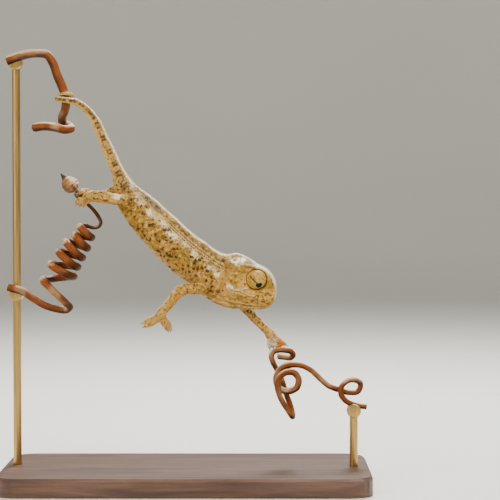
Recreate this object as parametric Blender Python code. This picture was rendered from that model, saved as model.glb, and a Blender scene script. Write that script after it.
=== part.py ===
"""A young common chameleon, life size, reaching from one vine tendril to the next.

A still display model.  The animal is built from lofted solids: one chain of cross-sections for
neck, trunk and tail, a head made from a table of named sizes, and limbs that are tubes along
bent paths.  It keeps the three cut lengths of dry vine tendril that it holds, and a flat base
with two rods carries those.  All sizes below are in millimetres, +X is the way the animal
reaches, +Y its left side, +Z up, and the origin is the middle of the base's underside.
"""
import math

import bmesh
import bpy
import numpy as np

MM = 0.001
GAP = 0.15                      # clear space between neighbouring solids

# Display stand
BASE_LENGTH = 99.0
BASE_WIDTH = 46.0
BASE_HEIGHT = 5.0
BASE_CORNER = 6.0
BASE_CHAMFER = 0.6
ROD_RADIUS = 1.1
ROD_SINK = 2.5                  # how deep a rod stands in the base
ROD_X = 46.0                    # of the left rod, on the -X side
LEFT_ROD_Y = 2.6                # it stands behind the two tendrils that it carries
RIGHT_ROD_X = 45.4
SADDLE_RADIUS = 1.9

# Dry vine tendrils
TAIL_STEM_RADIUS = 1.2
HIND_STEM_RADIUS = 0.52         # thin end that the hind feet hold
COIL_RADIUS = 1.08              # thickness of the coiled part, as a radius
RUN_RADIUS = 1.0
HAND_STEM_RADIUS = 0.75
SPIRAL_RADIUS = 0.92
HOLD_RADIUS = 0.76              # top loop that the reaching hand holds
BUD_RADIUS = 2.25

# Head: its own axis runs from the nape to the snout, tilted down and turned towards -Y
HEAD_ORIGIN = (10.1, 0.0, 54.9)
HEAD_TILT = math.radians(22.0)
HEAD_YAW = math.radians(5.0)
HEAD_BACK = -1.2                # where the head begins, along its axis
MOUTH_HEIGHT = -0.8             # the closed mouth runs level in the head's own frame
MOUTH_CORNER = 3.4
EYE_ALONG, EYE_OUT, EYE_UP = 8.3, 2.95, 4.3
EYE_RADIUS, EYE_DEPTH = 2.65, 2.3
GAZE = (0.58, 0.72, -0.38)      # forward, outward and up, of where each eye looks
PUPIL_RADIUS = 0.62

SKIN = (0.62, 0.45, 0.20)
BARK = (0.36, 0.12, 0.06)
CLAW = (0.10, 0.07, 0.05)


# ---------------------------------------------------------------- curves and solids

def smooth(at, knots, values):
    """Cubic through rows of values given at knots; a knot's slope is its neighbours' chord."""
    at = np.asarray(at, float)
    knots = np.asarray(knots, float)
    values = np.asarray(values, float)
    step = np.diff(knots)[:, None]
    chord = np.diff(values, axis=0) / step
    slope = np.empty_like(values)
    slope[0], slope[-1] = chord[0], chord[-1]
    slope[1:-1] = (chord[:-1] * step[1:] + chord[1:] * step[:-1]) / (step[1:] + step[:-1])
    cell = np.clip(np.searchsorted(knots, at, side="right") - 1, 0, len(knots) - 2)
    width = step[cell]
    t = ((at - knots[cell]) / width[:, 0])[:, None]
    return (values[cell] * (1 + 2 * t) * (1 - t) ** 2 + values[cell + 1] * t * t * (3 - 2 * t)
            + width * (slope[cell] * t * (1 - t) ** 2 + slope[cell + 1] * t * t * (t - 1)))


def along(points, count):
    """Even samples of the smooth curve through rows of x, y, z and any sizes after them."""
    points = np.asarray(points, float)
    length = np.r_[0, np.cumsum(np.linalg.norm(np.diff(points[:, :3], axis=0), axis=1))]
    return smooth(np.linspace(0, length[-1], count), length, points)


def unit(vector):
    vector = np.asarray(vector, float)
    return vector / np.linalg.norm(vector, axis=-1, keepdims=True)


def frames(path, side):
    """Tangent, side and up vectors along a path; the side is carried on without twist."""
    tangent = unit(np.gradient(path, axis=0))
    sides = np.empty_like(path)
    side = np.asarray(side, float)
    for row, direction in enumerate(tangent):
        side = unit(side - side.dot(direction) * direction)
        sides[row] = side
    return tangent, sides, np.cross(tangent, sides)


def tube_rings(path, tall, wide, around, side=(0.0, 1.0, 0.0), keel=0.0):
    """Rings of an oval tube: half heights tall, half widths wide, narrowed towards the top."""
    _, sides, ups = frames(path, side)
    angle = np.linspace(0, 2 * math.pi, around, endpoint=False)
    out = np.sin(angle) * (1 - keel * np.cos(angle))
    up = np.cos(angle)
    return (path[:, None] + sides[:, None] * (out[:, None] * np.reshape(wide, (-1, 1, 1)))
            + ups[:, None] * (up[:, None] * np.reshape(tall, (-1, 1, 1))))


def material(name, colour, roughness=0.6, metallic=0.0):
    found = bpy.data.materials.get(name)
    if found:
        return found
    new = bpy.data.materials.new(name)
    new.use_nodes = True
    shader = new.node_tree.nodes["Principled BSDF"]
    shader.inputs["Base Color"].default_value = (*colour, 1.0)
    shader.inputs["Roughness"].default_value = roughness
    shader.inputs["Metallic"].default_value = metallic
    new.diffuse_color = (*colour, 1.0)
    return new


def add(name, mesh, finish):
    """Put a closed mesh into the scene as one part of the model."""
    shell = bmesh.new()
    shell.from_mesh(mesh)
    bmesh.ops.recalc_face_normals(shell, faces=shell.faces)
    shell.to_mesh(mesh)
    shell.free()
    mesh.materials.append(finish)
    part = bpy.data.objects.new(name, mesh)
    bpy.context.collection.objects.link(part)
    return part


def solid(name, shells, finish):
    """One mesh of closed shells, each a run of rings of points (in mm) with flat ends."""
    points, faces, offset = [], [], 0
    for rings in shells:
        rows, around = rings.shape[:2]
        last = offset + (rows - 1) * around
        faces.append(tuple(range(offset, offset + around)))
        faces.append(tuple(range(last, last + around)))
        for row in range(rows - 1):
            low = offset + row * around
            for i in range(around):
                j = (i + 1) % around
                faces.append((low + i, low + j, low + around + j, low + around + i))
        points += (rings.reshape(-1, 3) * MM).tolist()
        offset += rows * around
    mesh = bpy.data.meshes.new(name)
    mesh.from_pydata(points, [], faces)
    return add(name, mesh, finish)


def loft(name, rings, finish):
    return solid(name, [rings], finish)


def fused(name, shells, finish, grain, keep):
    """Overlapping shells melted into one smooth solid, thinned to the share of faces to keep."""
    part = solid(name, shells, finish)
    melt = part.modifiers.new("melt", "REMESH")
    melt.mode = "VOXEL"
    melt.voxel_size = grain * MM
    thin = part.modifiers.new("thin", "DECIMATE")
    thin.ratio = keep
    return part


def round_rings(points, count, around, side=(0.0, 1.0, 0.0), grow=0.0):
    """Rings of a round tube along the curve through rows of x, y, z, radius."""
    rows = along(points, count)
    radius = rows[:, 3] + grow
    return tube_rings(rows[:, :3], radius, radius, around, side)


def tube(name, points, count, around, finish, side=(0.0, 1.0, 0.0), grow=0.0):
    return loft(name, round_rings(points, count, around, side, grow), finish)


def ball(name, centre, axes, sizes, finish, rings=8, around=16):
    """Ellipsoid: axes are three unit vectors, sizes their half lengths."""
    lat = np.linspace(0.04, 1 - 0.04, rings) * math.pi
    lon = np.linspace(0, 2 * math.pi, around, endpoint=False)
    spots = np.stack([np.cos(lat)[:, None] * np.ones(around),
                      np.sin(lat)[:, None] * np.cos(lon), np.sin(lat)[:, None] * np.sin(lon)], -1)
    return loft(name, np.asarray(centre) + (spots * np.asarray(sizes)) @ np.asarray(axes), finish)


def guide(part):
    part.hide_render = True
    part.display_type = "WIRE"
    return part


def combine(part, other, operation):
    """Boolean with a guide solid."""
    step = part.modifiers.new(operation.lower(), "BOOLEAN")
    step.operation = operation
    step.solver = "EXACT"
    step.object = guide(other)
    return part


# ---------------------------------------------------------------- head

HEAD_FORWARD = np.array([math.cos(HEAD_TILT) * math.cos(HEAD_YAW), -math.sin(HEAD_YAW),
                         -math.sin(HEAD_TILT) * math.cos(HEAD_YAW)])
HEAD_SIDE = unit(np.cross([0.0, 0.0, 1.0], HEAD_FORWARD))
HEAD_UP = np.cross(HEAD_FORWARD, HEAD_SIDE)

# Each row: place along the head, then crown height, crest (out, up), cheek (out, up),
# jaw (out, up) and throat height of that cross-section
HEAD_SIZES = (
    (-1.20, 6.20, 1.50, 4.80, 2.95, 1.00, 2.60, -3.00, -6.20),      # nape
    (-0.75, 7.60, 1.65, 5.30, 3.20, 1.00, 2.80, -3.00, -6.30),      # back of the casque
    (0.20, 8.35, 2.10, 5.75, 3.60, 1.00, 3.00, -2.90, -6.35),
    (2.00, 8.60, 2.60, 6.10, 4.10, 1.00, 3.40, -2.60, -6.30),       # casque at its highest
    (4.50, 8.40, 2.90, 6.70, 4.25, 1.00, 3.60, -2.30, -6.00),       # temples
    (6.50, 7.95, 2.90, 7.20, 4.10, 0.90, 3.50, -2.00, -5.30),
    (8.50, 7.65, 2.60, 7.35, 3.80, 0.90, 3.20, -1.80, -4.60),       # between the eyes
    (10.50, 7.25, 2.10, 6.90, 3.30, 0.80, 2.80, -1.60, -3.80),
    (12.00, 6.45, 1.70, 5.90, 2.80, 0.90, 2.40, -1.40, -3.15),      # nostrils
    (13.35, 4.90, 1.25, 4.30, 2.20, 0.90, 1.85, -1.20, -2.35),
    (14.25, 2.80, 0.80, 2.50, 1.40, 0.80, 1.15, -0.70, -1.30),
    (14.70, 0.90, 0.30, 0.70, 0.50, 0.30, 0.40, 0.00, -0.20),       # tip of the snout
)


def head_point(forward, out, up):
    return (np.array(HEAD_ORIGIN) + np.multiply.outer(forward, HEAD_FORWARD)
            + np.multiply.outer(out, HEAD_SIDE) + np.multiply.outer(up, HEAD_UP))


def head_rings(places, around, grow=0.0):
    """Cross-sections of the head: closed smooth curves through crown, crests, cheeks and jaws."""
    sizes = np.array(HEAD_SIZES)
    crown, crest_out, crest_up, cheek_out, cheek_up, jaw_out, jaw_up, throat = (
        smooth(places, sizes[:, 0], sizes[:, 1:]).T)
    nought = np.zeros_like(crown)
    outs = np.stack([nought, -crest_out, -cheek_out, -jaw_out, nought, jaw_out, cheek_out,
                     crest_out], 1)
    ups = np.stack([crown, crest_up, cheek_up, jaw_up, throat, jaw_up, cheek_up, crest_up], 1)
    turn = np.arange(-2, 11)
    spot = np.linspace(0, 8, around, endpoint=False)
    outs = smooth(spot, turn, outs[:, turn % 8].T).T
    ups = smooth(spot, turn, ups[:, turn % 8].T).T
    middle = ups.mean(axis=1, keepdims=True)
    reach = np.hypot(outs, ups - middle)
    outs, ups = outs * (1 + grow / reach), middle + (ups - middle) * (1 + grow / reach)
    return head_point(np.repeat(np.reshape(places, (-1, 1)), around, 1), outs, ups)


def eye_frame(side):
    """Centre of an eye turret and the way it looks; side is -1 for the right eye, 1 the left."""
    centre = head_point(EYE_ALONG, side * EYE_OUT, EYE_UP)
    forward, out, up = GAZE
    return centre, unit(forward * HEAD_FORWARD + side * out * HEAD_SIDE + up * HEAD_UP)


def build_head():
    skin = material("head_skin", SKIN)
    places = np.array([HEAD_BACK, -0.8, -0.3, 0.3, 1.4, 2.8, 4.4, 6.0, 7.6, 9.2, 10.6, 11.8, 12.7,
                       13.5, 14.1, 14.5, 14.7])
    around = 20
    far_out, far_down = 8.0, -12.0

    def jaw_block(name, slack):
        """Box below the mouth line, from the corner of the mouth forward."""
        top = MOUTH_HEIGHT + slack
        corners = ((-far_out, top), (far_out, top), (far_out, far_down), (-far_out, far_down))
        ends = [[head_point(forward, out, up) for out, up in corners]
                for forward in (MOUTH_CORNER - slack, 20.0)]
        return loft(name, np.array(ends), skin)

    head = loft("head", head_rings(places, around), skin)
    combine(head, jaw_block("jaw_space", GAP), "DIFFERENCE")
    jaw = loft("lower_jaw", head_rings(places, around), skin)
    combine(jaw, jaw_block("jaw_block", 0.0), "INTERSECT")
    axes = (HEAD_FORWARD, HEAD_SIDE, HEAD_UP)
    for name, side in (("right", -1), ("left", 1)):
        centre, gaze = eye_frame(side)
        size = np.array([EYE_RADIUS, EYE_DEPTH, EYE_RADIUS])
        combine(head, ball(f"{name}_orbit", centre, axes, size + GAP, skin, 6, 14), "DIFFERENCE")
        turret = ball(f"{name}_eye_turret", centre, axes, size, material("eyelid_skin", SKIN), 8, 14)
        spot = centre + ((gaze @ np.array(axes).T) * size) @ np.array(axes)
        seat = spot - gaze * PUPIL_RADIUS * 0.45
        cross = unit(np.cross(gaze, [0, 0, 1]))
        gaze_axes = (gaze, cross, np.cross(gaze, cross))
        combine(turret, ball(f"{name}_eye_seat", seat, gaze_axes, [PUPIL_RADIUS + 0.1] * 3, skin, 5, 8),
                "DIFFERENCE")
        ball(f"{name}_eye", seat, gaze_axes, [PUPIL_RADIUS] * 3,
             material("eye_dark", (0.02, 0.012, 0.008), 0.15), 5, 8)


# ---------------------------------------------------------------- neck, trunk and tail

# Each row: x, z, half depth, half width of the body where the name says
BODY_STATIONS = (
    (8.8, 55.4, 6.15, 2.95),        # behind the head
    (4.6, 58.6, 5.85, 3.00),        # shoulders
    (-1.5, 63.3, 5.55, 3.25),
    (-7.0, 68.6, 5.25, 3.20),       # belly
    (-12.6, 74.5, 4.60, 2.80),
    (-15.2, 77.5, 3.90, 2.45),      # hips
    (-16.9, 80.8, 2.70, 2.20),
    (-18.3, 84.2, 1.85, 1.85),      # root of the tail
    (-20.5, 89.3, 1.62, 1.55),
    (-22.7, 94.2, 1.42, 1.35),
    (-25.1, 99.3, 1.20, 1.12),
)
TAIL_REACH = ((-27.7, -0.5, 102.2, 1.03, 0.98), (-30.1, -1.5, 103.5, 0.92, 0.88))
TAIL_HOLD_X, TAIL_HOLD_Z = -32.3, 104.2     # where the tail winds round its stem
TAIL_START, TAIL_SWEEP = -62.0, -470.0      # degrees, seen from above, -90 is the near side
TAIL_CLIMB = 1.9
TAIL_WIND_RADIUS = 0.84
TAIL_TIP_RADIUS = 0.42
TAIL_SLACK = 0.3                # clear space between the wound tail and its stem


def tail_coil():
    """The tail's last stretch: a rising turn and a half round the stem, thinning to its tip."""
    part = np.linspace(0, 1, 15)
    angle = np.radians(TAIL_START + TAIL_SWEEP * part)
    thick = TAIL_WIND_RADIUS + (TAIL_TIP_RADIUS - TAIL_WIND_RADIUS) * part
    reach = TAIL_STEM_RADIUS + TAIL_SLACK + thick
    climb = TAIL_CLIMB * np.minimum(part * 1.35, 1.0) - 0.6 * np.maximum(part - 0.85, 0) / 0.15
    return np.stack([TAIL_HOLD_X + reach * np.cos(angle) - 0.1 * climb, reach * np.sin(angle),
                     TAIL_HOLD_Z - 0.55 + climb, thick, thick * 0.96], 1)


def body_rows(count):
    rows = [(x, 0.0, z, tall, wide) for x, z, tall, wide in BODY_STATIONS]
    return along(np.vstack([rows, TAIL_REACH, tail_coil()]), count)


def body_rings(around, grow=0.0, count=900):
    """Cross-sections of neck, trunk and tail, very close together, nape to tail tip."""
    rows = body_rows(count)
    return tube_rings(rows[:, :3], rows[:, 3] + grow, rows[:, 4] + grow, around,
                      (0.0, -1.0, 0.0), keel=0.16)


def body_length(count=900):
    rows = body_rows(count)
    return np.r_[0, np.cumsum(np.linalg.norm(np.diff(rows[:, :3], axis=0), axis=1))]


# Name, where it ends (mm from the nape along the body), number of rings, points around
BODY_NODES = (
    ("neck", 4.2, 6, 18),
    ("trunk_front", 17.0, 7, 18),
    ("trunk_rear", 37.5, 11, 18),
    ("tail_base", 46.0, 5, 12),
    ("tail_middle", 54.5, 5, 12),
    ("tail_bend", 64.0, 7, 12),
    ("tail_coil", 99.0, 20, 9),
)


def chain(nodes, ring_maker, length, finish):
    """Loft neighbouring parts of one long form, each a clear gap from the last."""
    start = 0.0
    for name, end, count, around in nodes:
        rings = ring_maker(around)
        places = np.linspace(start, min(end, length[-1]), count)
        rows = np.searchsorted(length, places).clip(0, len(length) - 1)
        loft(name, rings[rows], finish)
        start = end + GAP


def neck_blend(around, rings, length):
    """Let the body's first stretch grow out of the head's own back face."""
    face = head_rings(np.array([HEAD_BACK - GAP]), around)[0]
    bare = body_rings(around)[0]
    share = np.clip(1 - length / BODY_NODES[0][1], 0, 1)[:, None, None]
    return rings + (face - bare) * share ** 1.5


def build_body():
    length = body_length()
    chain(BODY_NODES, lambda around: neck_blend(around, body_rings(around), length), length,
          material("body_skin", SKIN))


# ---------------------------------------------------------------- tendrils

def tail_stem_points():
    """Hooked stem: out from the rod, over a bend, down to the tail and round to a short curl."""
    return ((-48.2, 0.0, 114.4), (-44.8, 0.0, 115.6), (-39.6, 0.0, 116.4), (-37.3, 0.0, 116.0),
            (-35.9, 0.0, 114.2), (-34.6, 0.0, 110.7), (-33.0, 0.0, 106.7), (-32.3, 0.0, 104.0),
            (-32.5, 0.2, 101.3), (-33.4, 1.0, 99.2), (-33.1, 2.3, 97.6), (-31.6, 2.3, 96.9),
            (-31.1, 0.7, 96.2), (-32.4, -0.6, 95.9), (-35.0, -1.0, 96.5), (-38.0, -1.0, 96.8),
            (-41.4, -0.8, 96.3))


HIND_RUN = ((-37.0, -1.2, 53.7), (-34.5, -1.5, 51.3), (-32.5, -1.2, 49.4), (-31.5, 0.0, 48.0),
            (-32.4, 1.0, 47.3), (-35.0, 0.8, 47.5), (-38.0, 0.3, 48.4), (-41.0, 0.0, 50.2),
            (-44.8, 0.0, 52.6), (-48.2, 0.0, 53.4))
# Where the coil's half turns end, x and z, from its thin end down
COIL_LEFT = ((-28.7, 69.9), (-29.9, 67.5), (-32.3, 65.7), (-34.3, 63.0), (-36.5, 59.6),
             (-38.6, 55.3))
COIL_RIGHT = ((-25.5, 66.9), (-26.6, 64.0), (-28.0, 61.4), (-29.3, 58.9), (-30.3, 56.3))
COIL_STEPS = 6                  # points to a half turn
SWELLING = (0.65, 0.88)         # radii where the thin end grows into the coil


def hind_stem_points():
    """Thin end of the lower tendril, from its bud under the hind feet to the coil."""
    return ((-29.6, 0.0, 79.5), (-28.9, 0.0, 78.8), (-27.8, 0.0, 77.2), (-26.4, 0.0, 75.8),
            (-25.0, 0.0, 74.4), (-23.7, 0.1, 72.6), (-23.0, 0.3, 70.9), (-23.6, 0.9, 69.8),
            (-25.0, 1.6, 69.5), (-26.9, 1.5, 70.0))


def coil_points():
    """Loose coil: each half turn swings between a left and a right limit, near side then far."""
    limits = [limit for pair in zip(COIL_LEFT, COIL_RIGHT) for limit in pair] + [COIL_LEFT[-1]]
    limits = np.array(limits)
    depth = np.linspace(1.7, 4.2, len(limits) - 1)
    steps = np.linspace(0, math.pi, COIL_STEPS + 1)[:-1]
    rows = []
    for half, (begin, end) in enumerate(zip(limits[:-1], limits[1:])):
        flat = begin + (end - begin) * ((1 - np.cos(steps)) / 2)[:, None]
        side = -1 if half % 2 == 0 else 1
        rows.append(np.stack([flat[:, 0], side * depth[half] * np.sin(steps), flat[:, 1]], 1))
    return np.vstack(rows + [[[limits[-1][0], 0.0, limits[-1][1]]]])


def hand_stem_rows():
    """Tendril of the reaching hand: loop by the right rod, spiral, hairpin and top loop."""
    loop = [(48.9, 0.0, 21.0), (45.6, 0.0, 21.5), (43.2, -0.4, 22.7), (41.9, -0.8, 24.6),
            (42.1, -1.0, 26.7), (44.6, -0.7, 28.4), (47.2, 0.2, 27.3), (46.6, 0.9, 25.1),
            (43.9, 1.1, 24.8), (41.0, 0.7, 25.7), (38.9, 0.4, 26.5), (36.3, 0.0, 28.6),
            (33.8, 0.2, 30.9), (31.0, 0.5, 32.2)]
    spiral = [(28.0, 0.9, 32.3), (25.5, 1.1, 31.0), (24.4, 1.2, 28.4), (25.2, 0.9, 26.0),
              (27.6, 0.2, 25.2), (30.0, -0.5, 26.4), (30.4, -0.8, 28.7), (29.2, -1.0, 30.3),
              (27.2, -1.1, 30.5), (25.5, -1.1, 29.4), (24.8, -1.1, 27.0)]
    hairpin = [(25.2, -1.0, 24.5), (26.3, -0.7, 22.1), (27.5, -0.3, 20.2), (28.6, 0.2, 18.5),
               (28.9, 1.0, 18.2), (28.7, 1.7, 19.6), (28.0, 2.1, 21.9), (27.0, 2.4, 24.6),
               (25.9, 3.0, 28.2), (24.4, 2.9, 31.2)]
    hold = [(23.4, 2.0, 33.3), (23.1, 1.9, 34.6), (23.6, 2.1, 35.7), (25.0, 2.5, 36.15),
            (26.8, 3.0, 36.1), (28.4, 3.5, 35.7), (29.1, 3.8, 34.8), (28.6, 4.1, 34.1),
            (26.6, 4.1, 34.1), (24.6, 3.9, 34.4)]
    return np.vstack([with_radius(loop, HAND_STEM_RADIUS), with_radius(spiral, SPIRAL_RADIUS),
                      with_radius(hairpin, HAND_STEM_RADIUS), with_radius(hold, HOLD_RADIUS)])


def with_radius(points, radius):
    points = np.asarray(points, float)
    return np.column_stack([points, np.broadcast_to(radius, len(points))])


def hind_perch_rows():
    """The whole lower tendril with its thickness: thin end, coil, and the run to the left rod."""
    thin = with_radius(hind_stem_points(), HIND_STEM_RADIUS)
    coil = with_radius(coil_points(), COIL_RADIUS)
    thin[-1, 3], coil[0, 3] = SWELLING
    run = with_radius(HIND_RUN, RUN_RADIUS)
    return np.vstack([thin, coil, run])


# Bud on the end of the lower tendril: x, y, z, radius, from its stalk to its thorn
BUD_ROWS = ((-29.7, 0.0, 79.6, 0.9), (-30.1, 0.0, 80.0, 1.8), (-30.8, 0.0, 80.7, BUD_RADIUS),
            (-31.6, 0.0, 81.6, 2.05), (-32.3, 0.0, 82.5, 1.25), (-32.9, 0.0, 83.2, 0.5),
            (-33.7, 0.0, 84.1, 0.2))


def build_tendrils():
    bark = material("dry_bark", BARK, 0.75)
    tail = with_radius(tail_stem_points(), TAIL_STEM_RADIUS)
    tube("perch_tail", tail, 30, 7, bark)
    tube("perch_hand", hand_stem_rows(), 88, 6, bark)
    tube("perch_hind", hind_perch_rows(), 98, 6, bark)
    tube("perch_bud", BUD_ROWS, 10, 9, material("dry_bud", (0.55, 0.33, 0.2), 0.8))


# ---------------------------------------------------------------- limbs

# Each limb: rows of x, y, z, radius from inside the body to the wrist or ankle
ARM_RIGHT = ((6.2, -1.0, 53.6, 1.7), (3.0, -3.9, 53.2, 1.6), (0.2, -5.4, 53.3, 1.55),
             (-1.7, -6.0, 52.5, 1.55), (-3.75, -6.5, 50.1, 1.45), (-6.2, -7.0, 47.2, 1.28))
ARM_LEFT = ((6.2, 1.0, 53.2, 1.7), (9.6, 3.9, 51.6, 1.5), (13.2, 5.3, 49.9, 1.4),
            (15.4, 5.2, 48.0, 1.35), (19.0, 4.6, 44.3, 1.3), (22.3, 3.8, 41.05, 1.2))
LEG_RIGHT = ((-14.4, -1.0, 76.7, 1.9), (-18.0, -3.9, 77.1, 1.6), (-20.8, -5.0, 77.6, 1.62),
             (-23.6, -4.3, 78.0, 1.72), (-25.8, -3.0, 77.9, 1.5))
LEG_LEFT = ((-14.6, 1.0, 77.4, 1.9), (-17.4, 3.4, 79.0, 1.55), (-19.3, 4.7, 79.8, 1.35),
            (-21.4, 4.9, 78.7, 1.25), (-23.8, 4.1, 78.3, 1.2), (-26.0, 2.9, 78.6, 1.05))
LIMB_SAMPLES = 200
DIGIT_RADIUS = 0.55             # of a digit that wraps a stem
CLAW_LENGTH = 0.8
CLAW_RADIUS = 0.2
FOOT_GRAIN = 0.16
FOOT_KEEP = 0.044


def limb(names, points, bend_share):
    """Two parts of a limb, parted at the elbow or knee; the upper one is cut by the body."""
    skin = material("limb_skin", SKIN)
    rows = along(points, LIMB_SAMPLES)
    length = np.r_[0, np.cumsum(np.linalg.norm(np.diff(rows[:, :3], axis=0), axis=1))]
    bend = length[-1] * bend_share

    def rings(around):
        return tube_rings(rows[:, :3], rows[:, 3], rows[:, 3] * 0.94, around)

    chain(((names[0], bend, 6, 10), (names[1], length[-1], 6, 10)), rings, length, skin)
    upper = bpy.data.objects[names[0]]
    places = np.linspace(0, 60, 34)
    length = body_length()
    around = BODY_NODES[0][-1]
    trunk = neck_blend(around, body_rings(around, GAP), length)[np.searchsorted(length, places)]
    combine(upper, loft(names[0] + "_body_clearance", trunk, skin), "DIFFERENCE")
    if "arm" in names[0]:
        places = np.linspace(HEAD_BACK - GAP * 1.5, 8.0, 12)
        combine(upper, loft(names[0] + "_head_clearance", head_rings(places, 20, GAP), skin),
                "DIFFERENCE")


def grip_digits(centre, stem, palm, sense, count, stem_radius, pitch):
    """Digits that wrap a stem: arcs from the palm's side round to the far side."""
    across = np.cross(stem, palm) * sense
    digits = []
    for number in range(count):
        shift = stem * pitch * (number - (count - 1) / 2)
        rows = []
        for turn, size in ((30, 1.05), (62, 1.0), (94, 0.9), (122, 0.7)):
            angle = math.radians(turn)
            reach = stem_radius + GAP + DIGIT_RADIUS * size
            spot = centre + shift + reach * (math.cos(angle) * palm + math.sin(angle) * across)
            rows.append((*spot, DIGIT_RADIUS * size))
        digits.append(rows)
    return digits


def bundle(palm, tip, bow, spread, count, pitch, radius):
    """Digits grown together side by side from the palm to their tips, bowed a little."""
    palm, tip, bow = (np.asarray(spot, float) for spot in (palm, tip, bow))
    digits = []
    for number in range(count):
        step = number - (count - 1) / 2
        shift = unit(spread) * pitch * step
        short = abs(step) * 0.25 * unit(palm - tip)
        digits.append([(*(palm + shift * 0.6), radius * 1.1),
                       (*((palm + tip) / 2 + shift + bow), radius),
                       (*(tip + shift * 1.1 + short), radius * 0.62)])
    return digits


def foot(name, limb_rows, palm, palm_radius, digits, stem_rows=None):
    """A hand or foot: palm and digits in one piece, clear of limb and stem, and its claws."""
    start, palm = np.array(limb_rows[-1][:3]), np.asarray(palm, float)
    heading = unit(palm - start)
    knuckle = palm + heading * palm_radius * 0.75
    shells = [round_rings([(*(start + heading * GAP), palm_radius * 0.92), (*palm, palm_radius),
                           (*knuckle, palm_radius * 0.55)], 6, 12, (0.1, 0.9, 0.3))]
    for number, rows in enumerate(digits, 1):
        shells.append(round_rings(rows, 8, 10, (0.1, 0.9, 0.3)))
        end = along(rows, 12)[:, :3]
        ahead = unit(end[-1] - end[-2])
        hook = end[-1] - 2 * end[-4] + end[-7]
        root = end[-1] + ahead * (GAP * 0.8)
        middle = root + ahead * CLAW_LENGTH * 0.5
        tip = root + ahead * CLAW_LENGTH * 0.95 + hook * 0.5
        tube(f"claw_{name}_{number}", [(*root, CLAW_RADIUS), (*middle, CLAW_RADIUS * 0.75),
             (*tip, CLAW_RADIUS * 0.2)], 3, 5, material("claw_horn", CLAW, 0.4), (0.1, 0.9, 0.3))
    body = fused(name, shells, material("foot_skin", SKIN), FOOT_GRAIN, FOOT_KEEP)
    before, last = np.array(limb_rows[-2:])
    beyond = last[:3] + unit(last[:3] - before[:3]) * GAP
    combine(body, tube(f"{name}_limb_clearance", (*limb_rows[-3:-1], (*beyond, last[3])), 8, 12,
                       body.data.materials[0], grow=GAP), "DIFFERENCE")
    if stem_rows is not None:
        stem = tube(f"{name}_stem_clearance", stem_rows, 14, 12, body.data.materials[0],
                    grow=GAP * 0.8)
        combine(body, stem, "DIFFERENCE")


def build_limbs():
    limb(("right_upper_arm", "right_forearm"), ARM_RIGHT, 0.52)
    limb(("left_upper_arm", "left_forearm"), ARM_LEFT, 0.48)
    limb(("right_thigh", "right_shin"), LEG_RIGHT, 0.52)
    limb(("left_thigh", "left_shin"), LEG_LEFT, 0.52)
    hind = np.vstack([BUD_ROWS[2::-1], with_radius(hind_stem_points()[:6], HIND_STEM_RADIUS)])
    stems = {"left_hand": hand_stem_rows()[-12:], "right_foot": hind, "left_foot": hind}
    for name, (limb_rows, palm, palm_radius, digits) in feet().items():
        foot(name, limb_rows, palm, palm_radius, digits, stems.get(name))


def feet():
    """Limb rows, palm centre, palm radius and digits of each hand and foot."""
    made = {}
    digits = (bundle((-7.6, -7.2, 45.5), (-11.1, -7.4, 43.8), (0.1, 0, 0), (-0.36, 0.35, 0.86), 2,
                     1.0, 0.82)
              + bundle((-6.0, -7.2, 45.2), (-4.1, -7.0, 42.5), (0.2, 0, 0), (0.62, 0.7, 0.35), 3,
                       0.62, 0.72))
    made["right_hand"] = (ARM_RIGHT, (-6.7, -7.2, 45.9), 1.45, digits)
    digits = (bundle((23.3, 3.9, 39.0), (23.15, 4.4, 36.6), (-0.1, 0.1, 0), (0.85, 0.45, 0.1), 2,
                     0.95, 0.8)
              + bundle((24.4, 3.6, 39.2), (27.0, 3.7, 37.55), (-0.1, 0, -0.1), (0.2, 0.95, -0.25), 3,
                       0.66, 0.78))
    made["left_hand"] = (ARM_LEFT, (23.55, 3.6, 39.4), 1.5, digits)
    stem = unit((0.57, 0.0, -0.82))
    digits = (bundle((-27.5, -2.0, 77.3), (-28.4, -1.6, 75.5), (0, -0.25, 0), (1.0, 0.0, -0.15), 3,
                     0.95, 0.68)
              + grip_digits(np.array((-27.3, 0.0, 76.6)), stem, unit((0.62, -0.65, 0.43)), 1, 2,
                            HIND_STEM_RADIUS, 0.85))
    made["right_foot"] = (LEG_RIGHT, (-26.8, -1.9, 77.3), 1.35, digits)
    way = unit((0.62, 0.65, 0.43))
    centre = np.array((-28.9, 0.0, 78.6))
    digits = (grip_digits(centre, stem, way, 1, 2, HIND_STEM_RADIUS, 0.5)
              + grip_digits(centre, stem, way, -1, 3, HIND_STEM_RADIUS, 0.5))
    made["left_foot"] = (LEG_LEFT, centre + way * (HIND_STEM_RADIUS + GAP + 0.85), 0.95, digits)
    return made


# ---------------------------------------------------------------- stand

def base_outline():
    """Rectangle with rounded corners, as x, y rows, anticlockwise from the +X +Y corner."""
    half = np.array([BASE_LENGTH, BASE_WIDTH]) / 2 - BASE_CORNER
    turn = np.linspace(0, math.pi / 2, 6)
    quarters = []
    for number, signs in enumerate(((1, 1), (-1, 1), (-1, -1), (1, -1))):
        angle = turn + number * math.pi / 2
        arc = np.stack([np.cos(angle), np.sin(angle)], 1) * BASE_CORNER
        quarters.append(half * signs + arc)
    return np.vstack(quarters)


def level_rod(name, x, ends, z, radius, finish):
    """Short round bar along Y, between its two ends."""
    return tube(name, [(x, y, z, radius) for y in ends], 2, 12, finish, side=(1.0, 0.0, 0.0))


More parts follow.
